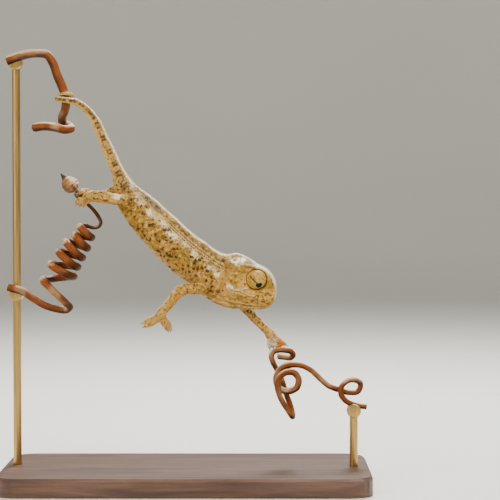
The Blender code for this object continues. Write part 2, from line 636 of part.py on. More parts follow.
def build_stand():
    wood = material("dark_wood", (0.05, 0.03, 0.02), 0.45)
    brass = material("satin_brass", (0.55, 0.40, 0.18), 0.35, 1.0)
    outline = base_outline()
    rings = []
    for inset, height in ((0.0, 0.0), (0.0, BASE_HEIGHT - BASE_CHAMFER), (BASE_CHAMFER, BASE_HEIGHT)):
        scale = 1 - inset / np.array([BASE_LENGTH / 2, BASE_WIDTH / 2])
        rings.append(np.column_stack([outline * scale, np.full(len(outline), height)]))
    base = loft("stand_base", np.array(rings), wood)
    foot_z = BASE_HEIGHT - ROD_SINK
    tail = with_radius(tail_stem_points()[:4], TAIL_STEM_RADIUS)
    run = with_radius(HIND_RUN[-4:], RUN_RADIUS)
    hand = hand_stem_rows()[:4]
    for name, x, y, top, ends, saddles in (
            ("stand_rod_left", -ROD_X, LEFT_ROD_Y, 116.0, (-0.5, LEFT_ROD_Y + 0.6),
             ((114.0, tail), (51.6, run))),
            ("stand_rod_right", RIGHT_ROD_X, 0.0, 20.4, (-1.6, 1.6), ((20.0, hand),))):
        part = tube(name, [(x, y, foot_z, ROD_RADIUS), (x, y, top, ROD_RADIUS)], 2, 12, brass)
        for number, (height, stem_rows) in enumerate(saddles, 1):
            saddle = level_rod(f"{name}_saddle_{number}", x, ends, height, SADDLE_RADIUS, brass)
            combine(part, saddle, "UNION")
            combine(part, tube(f"{name}_seat_{number}", stem_rows, 8, 10, brass, grow=GAP),
                    "DIFFERENCE")
        hole = tube(name + "_hole", [(x, y, foot_z - GAP, ROD_RADIUS + GAP),
                    (x, y, BASE_HEIGHT + 2, ROD_RADIUS + GAP)], 2, 12, wood)
        combine(base, hole, "DIFFERENCE")


def main():
    for found in list(bpy.data.objects):
        bpy.data.objects.remove(found)
    build_head()
    build_body()
    build_limbs()
    build_tendrils()
    build_stand()


main()
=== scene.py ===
"""Looks of a young common chameleon, life size, on cut lengths of dry vine tendril.

One skin covers all of the animal's flesh, and granular scales stand on it in rows.  Glossy eyes,
claws, grooved tendrils, the bud and the display stand are pieces of their own.  Shapes are worked
out in millimetres and put into the meshes in metres; +X is the way the animal reaches, +Y its
left side, +Z up.
"""
import math

import bmesh
import bpy
import numpy as np
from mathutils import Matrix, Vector
from mathutils.bvhtree import BVHTree


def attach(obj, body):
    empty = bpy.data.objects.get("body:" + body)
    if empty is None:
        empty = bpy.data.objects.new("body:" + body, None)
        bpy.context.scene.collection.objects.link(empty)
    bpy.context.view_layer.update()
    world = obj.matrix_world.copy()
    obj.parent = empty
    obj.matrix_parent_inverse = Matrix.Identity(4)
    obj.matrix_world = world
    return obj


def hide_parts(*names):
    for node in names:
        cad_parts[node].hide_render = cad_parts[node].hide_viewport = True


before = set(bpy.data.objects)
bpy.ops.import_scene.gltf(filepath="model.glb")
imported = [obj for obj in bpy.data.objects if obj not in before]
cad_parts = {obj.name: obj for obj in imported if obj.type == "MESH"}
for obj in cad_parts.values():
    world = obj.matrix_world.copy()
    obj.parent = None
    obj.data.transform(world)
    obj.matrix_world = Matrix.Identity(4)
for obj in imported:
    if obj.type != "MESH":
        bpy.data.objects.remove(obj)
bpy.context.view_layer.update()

bl_info = {
    "name": "Young chameleon on vine tendrils",
    "version": (1, 0, 0),
    "blender": (4, 5, 0),
    "location": "View3D > Sidebar > Chameleon",
    "description": "Skin, scales, claws, tendrils and stand of a life-size young chameleon",
    "category": "Add Mesh",
}

MM = 0.001
BODY = "root"
SIDES = ("right", "left")
LEFTWARDS, RIGHTWARDS = (0.0, 1.0, 0.0), (0.0, -1.0, 0.0)

# Head: its own axis runs from the nape to the snout, tilted down and turned towards -Y
HEAD_ORIGIN = np.array([10.1, 0.0, 54.9])
HEAD_TILT, HEAD_YAW = math.radians(22.0), math.radians(5.0)
HEAD_BACK, SNOUT_START, SNOUT_TIP = -1.2, 12.5, 14.7      # places along it
EYE_ALONG, EYE_OUT, EYE_UP = 8.3, 2.95, 4.3
EYE_RADIUS, EYE_DEPTH = 2.65, 2.3
GAZE = (0.58, 0.72, -0.38)      # forward, outward and up, of where each eye looks

# Each row: place along the head, then crown height, crest (out, up), cheek (out, up),
# jaw (out, up) and throat height of that cross-section
HEAD_SIZES = np.array((
    (-1.2, 6.2, 1.5, 4.8, 2.95, 1.0, 2.6, -3.0, -6.2),          # nape
    (-0.75, 7.6, 1.65, 5.3, 3.2, 1.0, 2.8, -3.0, -6.3),         # back of the casque
    (0.2, 8.35, 2.1, 5.75, 3.6, 1.0, 3.0, -2.9, -6.35),
    (2.0, 8.6, 2.6, 6.1, 4.1, 1.0, 3.4, -2.6, -6.3),            # casque at its highest
    (4.5, 8.4, 2.9, 6.7, 4.25, 1.0, 3.6, -2.3, -6.0),           # temples
    (6.5, 7.95, 2.9, 7.2, 4.1, 0.9, 3.5, -2.0, -5.3),
    (8.5, 7.65, 2.6, 7.35, 3.8, 0.9, 3.2, -1.8, -4.6),          # between the eyes
    (10.5, 7.25, 2.1, 6.9, 3.3, 0.8, 2.8, -1.6, -3.8),
    (12.0, 6.45, 1.7, 5.9, 2.8, 0.9, 2.4, -1.4, -3.15),         # nostrils
    (13.35, 4.9, 1.25, 4.3, 2.2, 0.9, 1.85, -1.2, -2.35),
    (14.25, 2.8, 0.8, 2.5, 1.4, 0.8, 1.15, -0.7, -1.3),
    (14.7, 0.9, 0.3, 0.7, 0.5, 0.3, 0.4, 0.0, -0.2),            # tip of the snout
))

# Body: each row is x, z, half depth, half width
BODY_STATIONS = (
    (8.8, 55.4, 6.15, 2.95), (4.6, 58.6, 5.85, 3.0), (-1.5, 63.3, 5.55, 3.25),
    (-7.0, 68.6, 5.25, 3.2), (-12.6, 74.5, 4.6, 2.8), (-15.2, 77.5, 3.9, 2.45),
    (-16.9, 80.8, 2.7, 2.2), (-18.3, 84.2, 1.85, 1.85), (-20.5, 89.3, 1.62, 1.55),
    (-22.7, 94.2, 1.42, 1.35), (-25.1, 99.3, 1.2, 1.12),
)
TAIL_REACH = ((-27.7, -0.5, 102.2, 1.03, 0.98), (-30.1, -1.5, 103.5, 0.92, 0.88))
TAIL_HOLD_X, TAIL_HOLD_Z = -32.3, 104.2
TAIL_START, TAIL_SWEEP = -62.0, -470.0
TAIL_CLIMB, TAIL_SLACK = 1.9, 0.3
TAIL_WIND_RADIUS, TAIL_TIP_RADIUS = 0.84, 0.42
NECK_LENGTH = 4.2
TAIL_PLACE = 37.5               # mm from the nape along the body
KEEL = 0.16                     # share by which the body narrows to its back and widens below

# Radii of the tendrils: at the tail, thin end under the hind feet, coil, run to the left rod,
# by the right rod, spiral, and the top loop at the reaching hand
TAIL_STEM_RADIUS, HIND_STEM_RADIUS, COIL_RADIUS, RUN_RADIUS = 1.2, 0.52, 1.08, 1.0
HAND_STEM_RADIUS, SPIRAL_RADIUS, HOLD_RADIUS = 0.75, 0.92, 0.76

# Limbs: rows of x, y, z, radius from inside the body to the wrist or ankle
LIMBS = {
    "right_arm": ((6.2, -1.0, 53.6, 1.7), (3.0, -3.9, 53.2, 1.6), (0.2, -5.4, 53.3, 1.55),
                  (-1.7, -6.0, 52.5, 1.55), (-3.75, -6.5, 50.1, 1.45), (-6.2, -7.0, 47.2, 1.28)),
    "left_arm": ((6.2, 1.0, 53.2, 1.7), (9.6, 3.9, 51.6, 1.5), (13.2, 5.3, 49.9, 1.4),
                 (15.4, 5.2, 48.0, 1.35), (19.0, 4.6, 44.3, 1.3), (22.3, 3.8, 41.05, 1.2)),
    "right_leg": ((-14.4, -1.0, 76.7, 1.9), (-18.0, -3.9, 77.1, 1.6), (-20.8, -5.0, 77.6, 1.62),
                  (-23.6, -4.3, 78.0, 1.72), (-25.8, -3.0, 77.9, 1.5)),
    "left_leg": ((-14.6, 1.0, 77.4, 1.9), (-17.4, 3.4, 79.0, 1.55), (-19.3, 4.7, 79.8, 1.35),
                 (-21.4, 4.9, 78.7, 1.25), (-23.8, 4.1, 78.3, 1.2), (-26.0, 2.9, 78.6, 1.05)),
}
LIMB_FLATNESS = 0.94            # width of a limb over its height
HAND_SIDE = (0.1, 0.9, 0.3)     # the way that counts as sideways on hands and feet
# Skin between the two bundles of the left hand, as x, y, z, radius
WEB = ((23.2, 3.9, 37.9, 0.7), (24.4, 3.5, 37.5, 0.74), (25.9, 3.3, 37.5, 0.6))
GAP = 0.15                      # clear space between neighbouring solids
EYEBALL_RADIUS = 0.64
EYEBALL_SINK = 0.3              # how far its middle lies under the lids' surface
DIGIT_RADIUS = 0.55             # of a digit that wraps a stem
CLAW_LENGTH, CLAW_RADIUS, CLAW_TIP = 0.8, 0.2, 0.03
NEAR_SKIN = 0.55                # scales whose root lies farther from the skin are hidden ones
LIMB_REACH, HAND_REACH = 1.35, 1.45     # a point within so many radii is on a limb or a hand
PATCH_WIDTH = 0.003             # of one scale's part of the coat's map

# Stand: where its two rods stand and what they carry
BASE_HEIGHT, ROD_SINK = 5.0, 2.5
ROD_X, RIGHT_ROD_X, LEFT_ROD_Y = 46.0, 45.4, 2.6
ROD_RADIUS, SADDLE_RADIUS = 1.1, 1.9

# Stage: the middle of the view, what the lamps point at, and the paper's flat part, bend and
# height
VIEW_MIDDLE, LAMP_AIM = (17.3, 0.0, 63.5), (0.0, 0.0, 65.0)
PAPER_FLAT, PAPER_BEND, PAPER_TOP = 800.0, 300.0, 700.0


# ---------------------------------------------------------------- numbers and curves

def unit(vector):
    """Vectors over their own lengths."""
    vector = np.asarray(vector, float)
    return vector / np.linalg.norm(vector, axis=-1, keepdims=True)


def smooth(at, knots, values):
    """Cubic through rows of values given at knots; a knot's slope is its neighbours' chord."""
    at, knots, values = (np.asarray(numbers, float) for numbers in (at, knots, values))
    step = np.diff(knots)[:, None]
    chord = np.diff(values, axis=0) / step
    slope = np.empty_like(values)
    slope[0], slope[-1] = chord[0], chord[-1]
    slope[1:-1] = (chord[:-1] * step[1:] + chord[1:] * step[:-1]) / (step[1:] + step[:-1])
    cell = np.clip(np.searchsorted(knots, at, side="right") - 1, 0, len(knots) - 2)
    width = step[cell]
    t = ((at - knots[cell]) / width[:, 0])[:, None]
    return (values[cell] * (1 + 2 * t) * (1 - t) ** 2 + values[cell + 1] * t * t * (3 - 2 * t)
            + width * (slope[cell] * t * (1 - t) ** 2 + slope[cell + 1] * t * t * (t - 1)))


def travelled(points):
    """Distance along a path up to each of its points."""
    return np.r_[0, np.cumsum(np.linalg.norm(np.diff(points[:, :3], axis=0), axis=1))]


def along(points, count):
    """Even samples of the smooth curve through rows of x, y, z and any sizes after them."""
    points = np.asarray(points, float)
    length = travelled(points)
    return smooth(np.linspace(0, length[-1], count), length, points)


def spots_at(places, length, line):
    """Points at places along a line whose own points lie at these lengths."""
    return np.stack([np.interp(places, length, values) for values in line.T], 1)


def circle(count, turn=math.tau):
    """Even angles of a whole turn, or of that much of one, without its end."""
    return np.linspace(0, turn, count, endpoint=False)


def frames(path, side):
    """Tangent, side and up vectors along a path; the side is carried on without twist."""
    tangent = unit(np.gradient(path, axis=0))
    sides = np.empty_like(path)
    side = np.asarray(side, float)
    for row, direction in enumerate(tangent):
        side = unit(side - side.dot(direction) * direction)
        sides[row] = side
    return tangent, sides, np.cross(tangent, sides)


def tube_rings(path, tall, wide, around, side=LEFTWARDS, keel=0.0):
    """Rings of an oval tube along a path, with one size to a ring or one to each of its points.

    A point is centre + side * wide * sin(a) * (1 - keel * cos(a)) + up * tall * cos(a).
    """
    _, sides, ups = frames(path, side)
    angle = circle(around)
    out, up = np.sin(angle) * (1 - keel * np.cos(angle)), np.cos(angle)
    tall, wide = (size if np.ndim(size) == 2 else size[:, None] for size in (tall, wide))
    return (path[:, None] + sides[:, None] * (out * wide)[..., None]
            + ups[:, None] * (up * tall)[..., None])


def round_rings(points, count, around, side=HAND_SIDE, grow=0.0):
    """Rings of a round tube along the curve through rows of x, y, z, radius."""
    rows = along(points, count)
    radius = rows[:, 3] + grow
    return tube_rings(rows[:, :3], radius, radius, around, side)


def rise(value, low, high):
    """0 below low, 1 above high, and an even S-curve between them."""
    share = np.clip((value - low) / (high - low), 0, 1)
    return share * share * (3 - 2 * share)


def bump(value, centre, width):
    """Bell curve: exp of minus the distance from the centre over the width, squared."""
    return np.exp(-((value - centre) / width) ** 2)


def hashed(cells, seed):
    """Repeatable number from 0 to 1 for each row of whole numbers, by multiplying and shifting."""
    mixed = (cells * np.array([374761393, 668265263, 1442695041])).sum(-1) + seed * 974634777
    mixed = (mixed ^ (mixed >> 13)) * 1274126177
    return ((mixed ^ (mixed >> 16)) & 0xFFFFFF) / 0xFFFFFF


def noise(points, size, seed=0):
    """Soft noise from 0 to 1: a random value at each corner of cubes of that size, blended."""
    spots = points / size
    low = np.floor(spots).astype(np.int64)
    share = spots - low
    share = share * share * (3 - 2 * share)
    total = np.zeros(len(points))
    for corner in np.ndindex(2, 2, 2):
        weight = np.prod(np.where(np.array(corner) == 1, share, 1 - share), axis=-1)
        total += weight * hashed(low + corner, seed)
    return total


def speckle(points, size, seed=0):
    """Distance in mm from each point to the nearest of points scattered one to a cube."""
    spots = points / size
    low = np.floor(spots).astype(np.int64)
    nearest = np.full(len(points), 9.0)
    for corner in np.ndindex(3, 3, 3):
        cell = low + np.array(corner) - 1
        seat = np.stack([hashed(cell, seed + axis) for axis in (11, 12, 13)], -1)
        nearest = np.minimum(nearest, np.linalg.norm(cell + seat - spots, axis=1))
    return nearest * size


def dots(points, cell, radius, seed, soft=0.06):
    """1 inside round dots of that radius scattered one to a cube of that size, 0 outside."""
    return rise(radius - speckle(points, cell, seed), -soft, soft)


def net(points, size, seed, width=0.05):
    """1 on the winding level lines of a noise of that size, 0 off them."""
    return 1 - rise(np.abs(noise(points, size, seed) - 0.5), width * 0.3, width)


def near_line(across, up, knots, width):
    """1 on the bent line through knots, fading as a bell curve of the distance from it."""
    spots = np.stack([across, up], -1)
    reach = np.full(len(spots), 99.0)
    for start, end in zip(np.array(knots[:-1]), np.array(knots[1:])):
        line = end - start
        share = np.clip((spots - start) @ line / (line @ line), 0, 1)
        reach = np.minimum(reach, np.linalg.norm(spots - start - share[:, None] * line, axis=1))
    return bump(reach, 0, width)


def tone(colour):
    """Linear red, green and blue of an sRGB hex colour; colours that are linear stay."""
    if not isinstance(colour, str):
        return np.asarray(colour)
    parts = [int(colour[i:i + 2], 16) / 255 for i in (1, 3, 5)]
    return np.array([p / 12.92 if p <= 0.04045 else ((p + 0.055) / 1.055) ** 2.4 for p in parts])


def layered(base, *layers):
    """Base colour or colours, with (colour, share) layers laid over them in order."""
    base = tone(base)
    for colour, share in layers:
        share = np.clip(share, 0, 1)[:, None]
        base = base * (1 - share) + tone(colour) * share
    return base


def nearest_row(points, path):
    """For each point, the nearest row of a path and its distance, worked out in slices."""
    rows, reach = np.empty(len(points), int), np.empty(len(points))
    slice_size = 20000
    for start in range(0, len(points), slice_size):
        part = slice(start, start + slice_size)
        square = ((points[part] ** 2).sum(1)[:, None] - 2 * points[part] @ path.T
                  + (path ** 2).sum(1))
        rows[part] = square.argmin(1)
        reach[part] = np.sqrt(np.maximum(square.min(1), 0))
    return rows, reach


# ---------------------------------------------------------------- meshes

def mesh_from(points, *face_sets):
    """Mesh of points in mm; each set of faces is an array with its own number of corners."""
    mesh = bpy.data.meshes.new("shape")
    corners = np.concatenate([faces.ravel() for faces in face_sets]).astype(np.int32)
    sizes = np.concatenate([np.full(len(faces), faces.shape[1]) for faces in face_sets])
    mesh.vertices.add(len(points))
    mesh.vertices.foreach_set("co", (np.asarray(points) * MM).astype(np.float32).ravel())
    mesh.loops.add(len(corners))
    mesh.loops.foreach_set("vertex_index", corners)
    mesh.polygons.add(len(sizes))
    mesh.polygons.foreach_set("loop_start", (np.cumsum(sizes) - sizes).astype(np.int32))
    mesh.update(calc_edges=True)
    mesh.validate()
    mesh.shade_smooth()
    return mesh


def shell(rings, offset=0):
    """Points, side faces and the two end faces of a closed tube of rings."""
    rows, around = rings.shape[:2]
    turn = np.arange(around)
    first = offset + np.arange(rows - 1)[:, None] * around
    low, high = first + turn, first + (turn + 1) % around
    sides = np.stack([low, high, high + around, low + around], -1).reshape(-1, 4)
    last = offset + (rows - 1) * around + turn[None]
    return rings.reshape(-1, 3), sides, offset + turn[None, ::-1], last


def shells_mesh(*shells):
    """One mesh of several closed tubes, with the normals turned outwards."""
    points, faces, offset = [], [], 0
    for rings in shells:
        spots, *sets = shell(rings, offset)
        points.append(spots)
        faces += sets
        offset += len(spots)
    mesh = mesh_from(np.concatenate(points), *faces)
    work = bmesh.new()
    work.from_mesh(mesh)
    bmesh.ops.recalc_face_normals(work, faces=work.faces)
    work.to_mesh(mesh)
    work.free()
    return mesh


def linked(name, data):
    """New object of these data in the scene."""
    new = bpy.data.objects.new(name, data)
    bpy.context.scene.collection.objects.link(new)
    return new


def show(name, mesh, finish, slot, *replaced):
    """Link a finished mesh as a piece that rides on the body and stands for these CAD nodes."""
    mesh.name = name
    piece = linked(name, mesh)
    mesh.materials.clear()
    mesh.materials.append(finish)
    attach(piece, BODY)
    if replaced:
        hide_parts(*replaced)


def evaluated(mesh, *steps):
    """A new mesh: this one, which is removed, after (type, settings) modifiers in order."""
    work = linked("work", mesh)
    for kind, settings in steps:
        step = work.modifiers.new(kind, kind)
        for key, value in settings.items():
            setattr(step, key, value)
    graph = bpy.context.evaluated_depsgraph_get()
    done = bpy.data.meshes.new_from_object(work.evaluated_get(graph))
    bpy.data.meshes.remove(mesh)
    return done


def rows_of(elements, key):
    """The x, y, z values stored in a mesh's elements, one row to each."""
    rows = np.empty((len(elements), 3), np.float32)
    elements.foreach_get(key, rows.ravel())
    return rows.astype(float)


def paint(mesh, colours):
    """Store a linear colour for each vertex, as the markings that the materials read; on some
    pieces these hold painted highlight and shade too.
    """
    layer = mesh.color_attributes.new("markings", "FLOAT_COLOR", "POINT")
    values = np.ones((len(mesh.vertices), 4), np.float32)
    values[:, :3] = colours
    layer.data.foreach_set("color", values.ravel())


def add_map(mesh, name, per_vertex):
    """UV map from one u, v for each vertex."""
    layer = mesh.uv_layers.new(name=name)
    corners = np.empty(len(mesh.loops), np.int32)
    mesh.loops.foreach_get("vertex_index", corners)
    layer.uv.foreach_set("vector", per_vertex.reshape(-1, 2)[corners].astype(np.float32).ravel())


# ---------------------------------------------------------------- materials

def feed(tree, target, sockets):
    """Give a node's inputs their values, or link them to the outputs given for them."""
    for key, value in sockets.items():
        if isinstance(value, bpy.types.NodeSocket):
            tree.links.new(value, target.inputs[key])
        else:
            target.inputs[key].default_value = value


def node(tree, kind, sockets, output, stops=(), **settings):
    """Add a node and give back one output: settings are its own properties, stops a ramp's."""
    new = tree.nodes.new(kind)
    for key, value in settings.items():
        setattr(new, key, value)
    feed(tree, new, sockets)
    for number, (place, colour) in enumerate(stops):
        if number == len(new.color_ramp.elements):
            new.color_ramp.elements.new(1.0)
        element = new.color_ramp.elements[number]
        element.position, element.color = place, (*tone(colour), 1)
    return new.outputs[output]


def finish_of(name, patterns, stops, relief=(), rough=(), marked=False, lengthwise=False, **fixed):
    """New material from one or two noises.

    Each pattern is a stretch and its noise's sockets.  The first one runs through the colour
    stops, over the markings where the piece is marked.  The last one gives the relief (strength,
    depth in mm) and the roughness (least, most).  fixed holds the shader's own values.
    """
    new = bpy.data.materials.new(name)
    new.use_nodes = True
    tree = new.node_tree
    place = (node(tree, "ShaderNodeUVMap", {}, "UV", uv_map="lengthwise") if lengthwise
             else node(tree, "ShaderNodeTexCoord", {}, "Object"))
    noises = []
    for stretch, sockets in patterns:
        at = node(tree, "ShaderNodeMapping", {"Vector": place, "Scale": stretch},
                  "Vector") if stretch else place
        noises.append(node(tree, "ShaderNodeTexNoise", {"Vector": at, **sockets}, "Fac"))
    colour = node(tree, "ShaderNodeValToRGB", {"Fac": noises[0]}, "Color", stops)
    if marked:
        markings = node(tree, "ShaderNodeAttribute", {}, "Color", attribute_name="markings")
        colour = node(tree, "ShaderNodeMixRGB", {"Fac": 1.0, "Color1": markings,
                                                 "Color2": colour}, "Color",
                      blend_type="MULTIPLY")
    links = {"Base Color": colour}
    if rough:
        links["Roughness"] = node(tree, "ShaderNodeMapRange", {
            "Value": noises[-1], "To Min": rough[0], "To Max": rough[1]}, "Result")
    if relief:
        links["Normal"] = node(tree, "ShaderNodeBump", {
            "Height": noises[-1], "Strength": relief[0], "Distance": relief[1] * MM}, "Normal")
    values = {key.replace("_", " "): value for key, value in fixed.items()}
    feed(tree, tree.nodes["Principled BSDF"], {**links, **values})
    return new


def scaly_skin():
    """Live reptile skin: dry keratin with a soft sheen, its markings, with some painted highlight
    and shade, in an attribute.

    Blotches 0.4 mm across soften the tone, and wrinkles of 0.1 mm roughen it.
    """
    return finish_of("dry granular reptile skin", (
        (None, {"Scale": 2600.0, "Detail": 3.0}), (None, {"Scale": 9000.0, "Detail": 2.0})),
        ((0.25, "#D2CBBE"), (0.75, "#FFFFFF")), (0.25, 0.04), marked=True, Roughness=0.5, IOR=1.3)


def wet_eye():
    """Dark wet cornea: a clear coat over near-black brown, so it holds one bright spark.

    Its flecks are 0.25 mm across.
    """
    return finish_of("wet dark eye", ((None, {"Scale": 4000.0, "Detail": 2.0}),),
                     ((0.4, "#060302"), (0.75, "#160B05")), Roughness=0.1, IOR=1.2,
                     Coat_Weight=0.08, Coat_Roughness=0.04)


def claw_horn():
    """Claw keratin: brown horn in clouds of 0.3 mm, smooth from use."""
    return finish_of("smooth claw horn", ((None, {"Scale": 3500.0, "Detail": 2.0}),),
                     ((0.3, "#4A3018"), (0.7, "#B08A58")), Roughness=0.32, IOR=1.55)


def dry_bark():
    """Dry vine tendril: thin bark, its tint with painted highlight and shade in an attribute, with
    fine dark lengthwise fibres.

    The piece's map runs along the tendril in u and round it in v, both in millimetres over ten,
    so the fibres are 2.5 mm long and 0.14 mm wide.
    """
    return finish_of("dry vine tendril bark", (
        ((4.0, 70.0, 1.0), {"Scale": 1.0, "Detail": 4.0, "Roughness": 0.6}),),
        ((0.3, "#7C6450"), (0.46, "#D8CFC2"), (0.7, "#FFFFFF")), (0.5, 0.08), (0.36, 0.6),
        marked=True, lengthwise=True, IOR=1.25)


def dry_bud():
    """Dry bud scales: papery and matt in wrinkles of 0.3 mm, their colours in an attribute."""
    return finish_of("dry papery bud", ((None, {"Scale": 3000.0, "Detail": 4.0}),),
                     ((0.3, "#B8A48C"), (0.7, "#FFFFFF")), (0.5, 0.1), marked=True, Roughness=0.7)


def oiled_hardwood():
    """Dark oiled hardwood base, satin from wiping: figure 36 by 2.4 mm, pores 6 by 0.4 mm."""
    grain = {"Scale": 1.0, "Detail": 6.0, "Roughness": 0.65, "Distortion": 0.4}
    return finish_of("dark oiled hardwood", (
        ((28.0, 420.0, 420.0), grain), ((160.0, 2600.0, 2600.0), {"Scale": 1.0})),
        ((0.3, "#2A1A12"), (0.5, "#4A3022"), (0.62, "#5E4030"), (0.75, "#38241A")),
        (0.3, 0.06), (0.34, 0.52))


def satin_brass():
    """Drawn brass rod, rubbed satin: faint lines 17 mm long and 0.4 mm wide, coarse to show."""
    return finish_of("satin drawn brass", (
        ((2600.0, 2600.0, 60.0), {"Scale": 1.0, "Detail": 3.0}),),
        ((0.3, "#9A7A45"), (0.7, "#C2A266")), rough=(0.26, 0.42), Metallic=1.0)


def backdrop_paper():
    """Matte studio paper: an even pale tone with the faintest mottling."""
    return finish_of("matte pale backdrop paper", ((None, {"Scale": 6.0}),),
                     ((0.3, "#D6D6D0"), (0.7, "#DADAD4")), Roughness=0.9)


# ---------------------------------------------------------------- head, body and limbs as tubes

HEAD_FORWARD = np.array([math.cos(HEAD_TILT) * math.cos(HEAD_YAW), -math.sin(HEAD_YAW),
                         -math.sin(HEAD_TILT) * math.cos(HEAD_YAW)])
HEAD_SIDE = unit(np.cross([0.0, 0.0, 1.0], HEAD_FORWARD))
HEAD_UP = np.cross(HEAD_FORWARD, HEAD_SIDE)
HEAD_AXES = np.array([HEAD_FORWARD, HEAD_SIDE, HEAD_UP])


def head_point(forward, out, up):
    """Place in the scene of a place on the head's own axes."""
    return (HEAD_ORIGIN + np.multiply.outer(forward, HEAD_FORWARD)
            + np.multiply.outer(out, HEAD_SIDE) + np.multiply.outer(up, HEAD_UP))


def head_sizes(places):
    """The sizes of the head's cross-sections at places along it, in the table's order."""
    return smooth(places, HEAD_SIZES[:, 0], HEAD_SIZES[:, 1:]).T


def head_rings(places, around, grow=0.0):
    """Cross-sections of the head: closed smooth curves through crown, crests, cheeks and jaws."""
    crown, crest_out, crest_up, cheek_out, cheek_up, jaw_out, jaw_up, throat = head_sizes(places)
    nought = np.zeros_like(crown)
    corners = np.stack([nought, -crest_out, -cheek_out, -jaw_out, nought, jaw_out, cheek_out,
                        crest_out, crown, crest_up, cheek_up, jaw_up, throat, jaw_up, cheek_up,
                        crest_up])
    turn = np.arange(-2, 11)
    outs, ups = (smooth(np.linspace(0, 8, around, endpoint=False), turn, half[turn % 8]).T
                 for half in (corners[:8], corners[8:]))
    middle = ups.mean(axis=1, keepdims=True)
    scale = np.maximum(1 + grow / np.hypot(outs, ups - middle), 0.1)
    return head_point(np.repeat(np.reshape(places, (-1, 1)), around, 1), outs * scale,
                      middle + (ups - middle) * scale)


def tail_coil():
    """The tail's last stretch: a rising turn and a half round the stem, thinning to its tip."""
    part = np.linspace(0, 1, 15)
    angle = np.radians(TAIL_START + TAIL_SWEEP * part)
    thick = TAIL_WIND_RADIUS + (TAIL_TIP_RADIUS - TAIL_WIND_RADIUS) * part
    reach = TAIL_STEM_RADIUS + TAIL_SLACK + thick
    climb = TAIL_CLIMB * np.minimum(part * 1.35, 1.0) - 0.6 * np.maximum(part - 0.85, 0) / 0.15
    return np.stack([TAIL_HOLD_X + reach * np.cos(angle) - 0.1 * climb, reach * np.sin(angle),
                     TAIL_HOLD_Z - 0.55 + climb, thick, thick * 0.96], 1)


SPINE = along(np.vstack([[(x, 0.0, z, tall, wide) for x, z, tall, wide in BODY_STATIONS],
                         TAIL_REACH, tail_coil()]), 900)
SPINE_PLACE = travelled(SPINE)
_, SPINE_SIDES, SPINE_UPS = frames(SPINE[:, :3], RIGHTWARDS)


def body_rings(around, grow=0.0):
    """Cross-sections of neck, trunk and tail, nape to tail tip; the neck grows out of the head."""
    rings = tube_rings(SPINE[:, :3], SPINE[:, 3] + grow, SPINE[:, 4] + grow, around, RIGHTWARDS,
                       KEEL)
    face = head_rings(np.array([HEAD_BACK + 0.6]), around, grow)[0]
    share = np.clip(1 - SPINE_PLACE / NECK_LENGTH, 0, 1)[:, None, None]
    return rings + (face - rings[0]) * share ** 1.5


def grip_digits(centre, stem, palm, sense, count, pitch):
    """Digits that wrap a stem: arcs from the palm's side round to the far side."""
    across = np.cross(stem, palm) * sense
    turn, radius = np.radians([30, 62, 94, 122]), DIGIT_RADIUS * np.array([1.05, 1.0, 0.9, 0.7])
    reach = (HIND_STEM_RADIUS + GAP + radius)[:, None]
    arc = reach * (np.cos(turn)[:, None] * palm + np.sin(turn)[:, None] * across)
    return [np.column_stack([centre + stem * pitch * (number - (count - 1) / 2) + arc, radius])
            for number in range(count)]


def bundle(palm, tip, bow, spread, count, pitch, radius):
    """Digits grown together side by side from the palm to their tips, bowed a little."""
    palm, tip, bow = (np.asarray(spot, float) for spot in (palm, tip, bow))
    digits = []
    for step in np.arange(count) - (count - 1) / 2:
        shift = unit(spread) * pitch * step
        short = abs(step) * 0.25 * unit(palm - tip)
        digits.append(np.array([(*(palm + shift * 0.6), radius * 1.1),
                                (*((palm + tip) / 2 + shift + bow), radius),
                                (*(tip + shift * 1.1 + short), radius * 0.62)]))
    return digits


HIND_STEM_WAY = unit((0.57, 0.0, -0.82))
LEFT_GRIP, LEFT_GRIP_WAY = np.array((-28.9, 0.0, 78.6)), unit((0.62, 0.65, 0.43))
# Each hand and foot: its limb, palm centre, palm radius and digits
FEET = {
    "right_hand": ("right_arm", (-6.7, -7.2, 45.9), 1.45, (
        *bundle((-7.6, -7.2, 45.5), (-11.1, -7.4, 43.8), (0.1, 0, 0), (-0.36, 0.35, 0.86), 2, 1.0,
                0.82),
        *bundle((-6.0, -7.2, 45.2), (-4.1, -7.0, 42.5), (0.2, 0, 0), (0.62, 0.7, 0.35), 3, 0.62,
                0.72))),
    "left_hand": ("left_arm", (23.55, 3.6, 39.4), 1.5, (
        *bundle((23.3, 3.9, 39.0), (23.15, 4.4, 36.6), (-0.1, 0.1, 0), (0.85, 0.45, 0.1), 2, 0.95,
                0.8),
        *bundle((24.4, 3.6, 39.2), (27.0, 3.7, 37.55), (-0.1, 0, -0.1), (0.2, 0.95, -0.25), 3,
                0.66, 0.78))),
    "right_foot": ("right_leg", (-26.8, -1.9, 77.3), 1.35, (
        *bundle((-27.5, -2.0, 77.3), (-28.4, -1.6, 75.5), (0, -0.25, 0), (1.0, 0.0, -0.15), 3,
                0.95, 0.68),
        *grip_digits((-27.3, 0.0, 76.6), HIND_STEM_WAY, unit((0.62, -0.65, 0.43)), 1, 2, 0.85))),
    "left_foot": ("left_leg", LEFT_GRIP + LEFT_GRIP_WAY * (HIND_STEM_RADIUS + GAP + 0.85), 0.95, (
        *grip_digits(LEFT_GRIP, HIND_STEM_WAY, LEFT_GRIP_WAY, 1, 2, 0.5),
        *grip_digits(LEFT_GRIP, HIND_STEM_WAY, LEFT_GRIP_WAY, -1, 3, 0.5))),
}


def palm_rows(limb, palm, radius):
    """Rows of x, y, z, radius from the wrist through the palm to the knuckles."""
    *start, wrist = LIMBS[limb][-1]
    heading = unit(np.subtract(palm, start))
    return np.array([(*(start - heading * 0.4), wrist), (*palm, radius),
                     (*(palm + heading * radius * 0.75), radius * 0.55)])


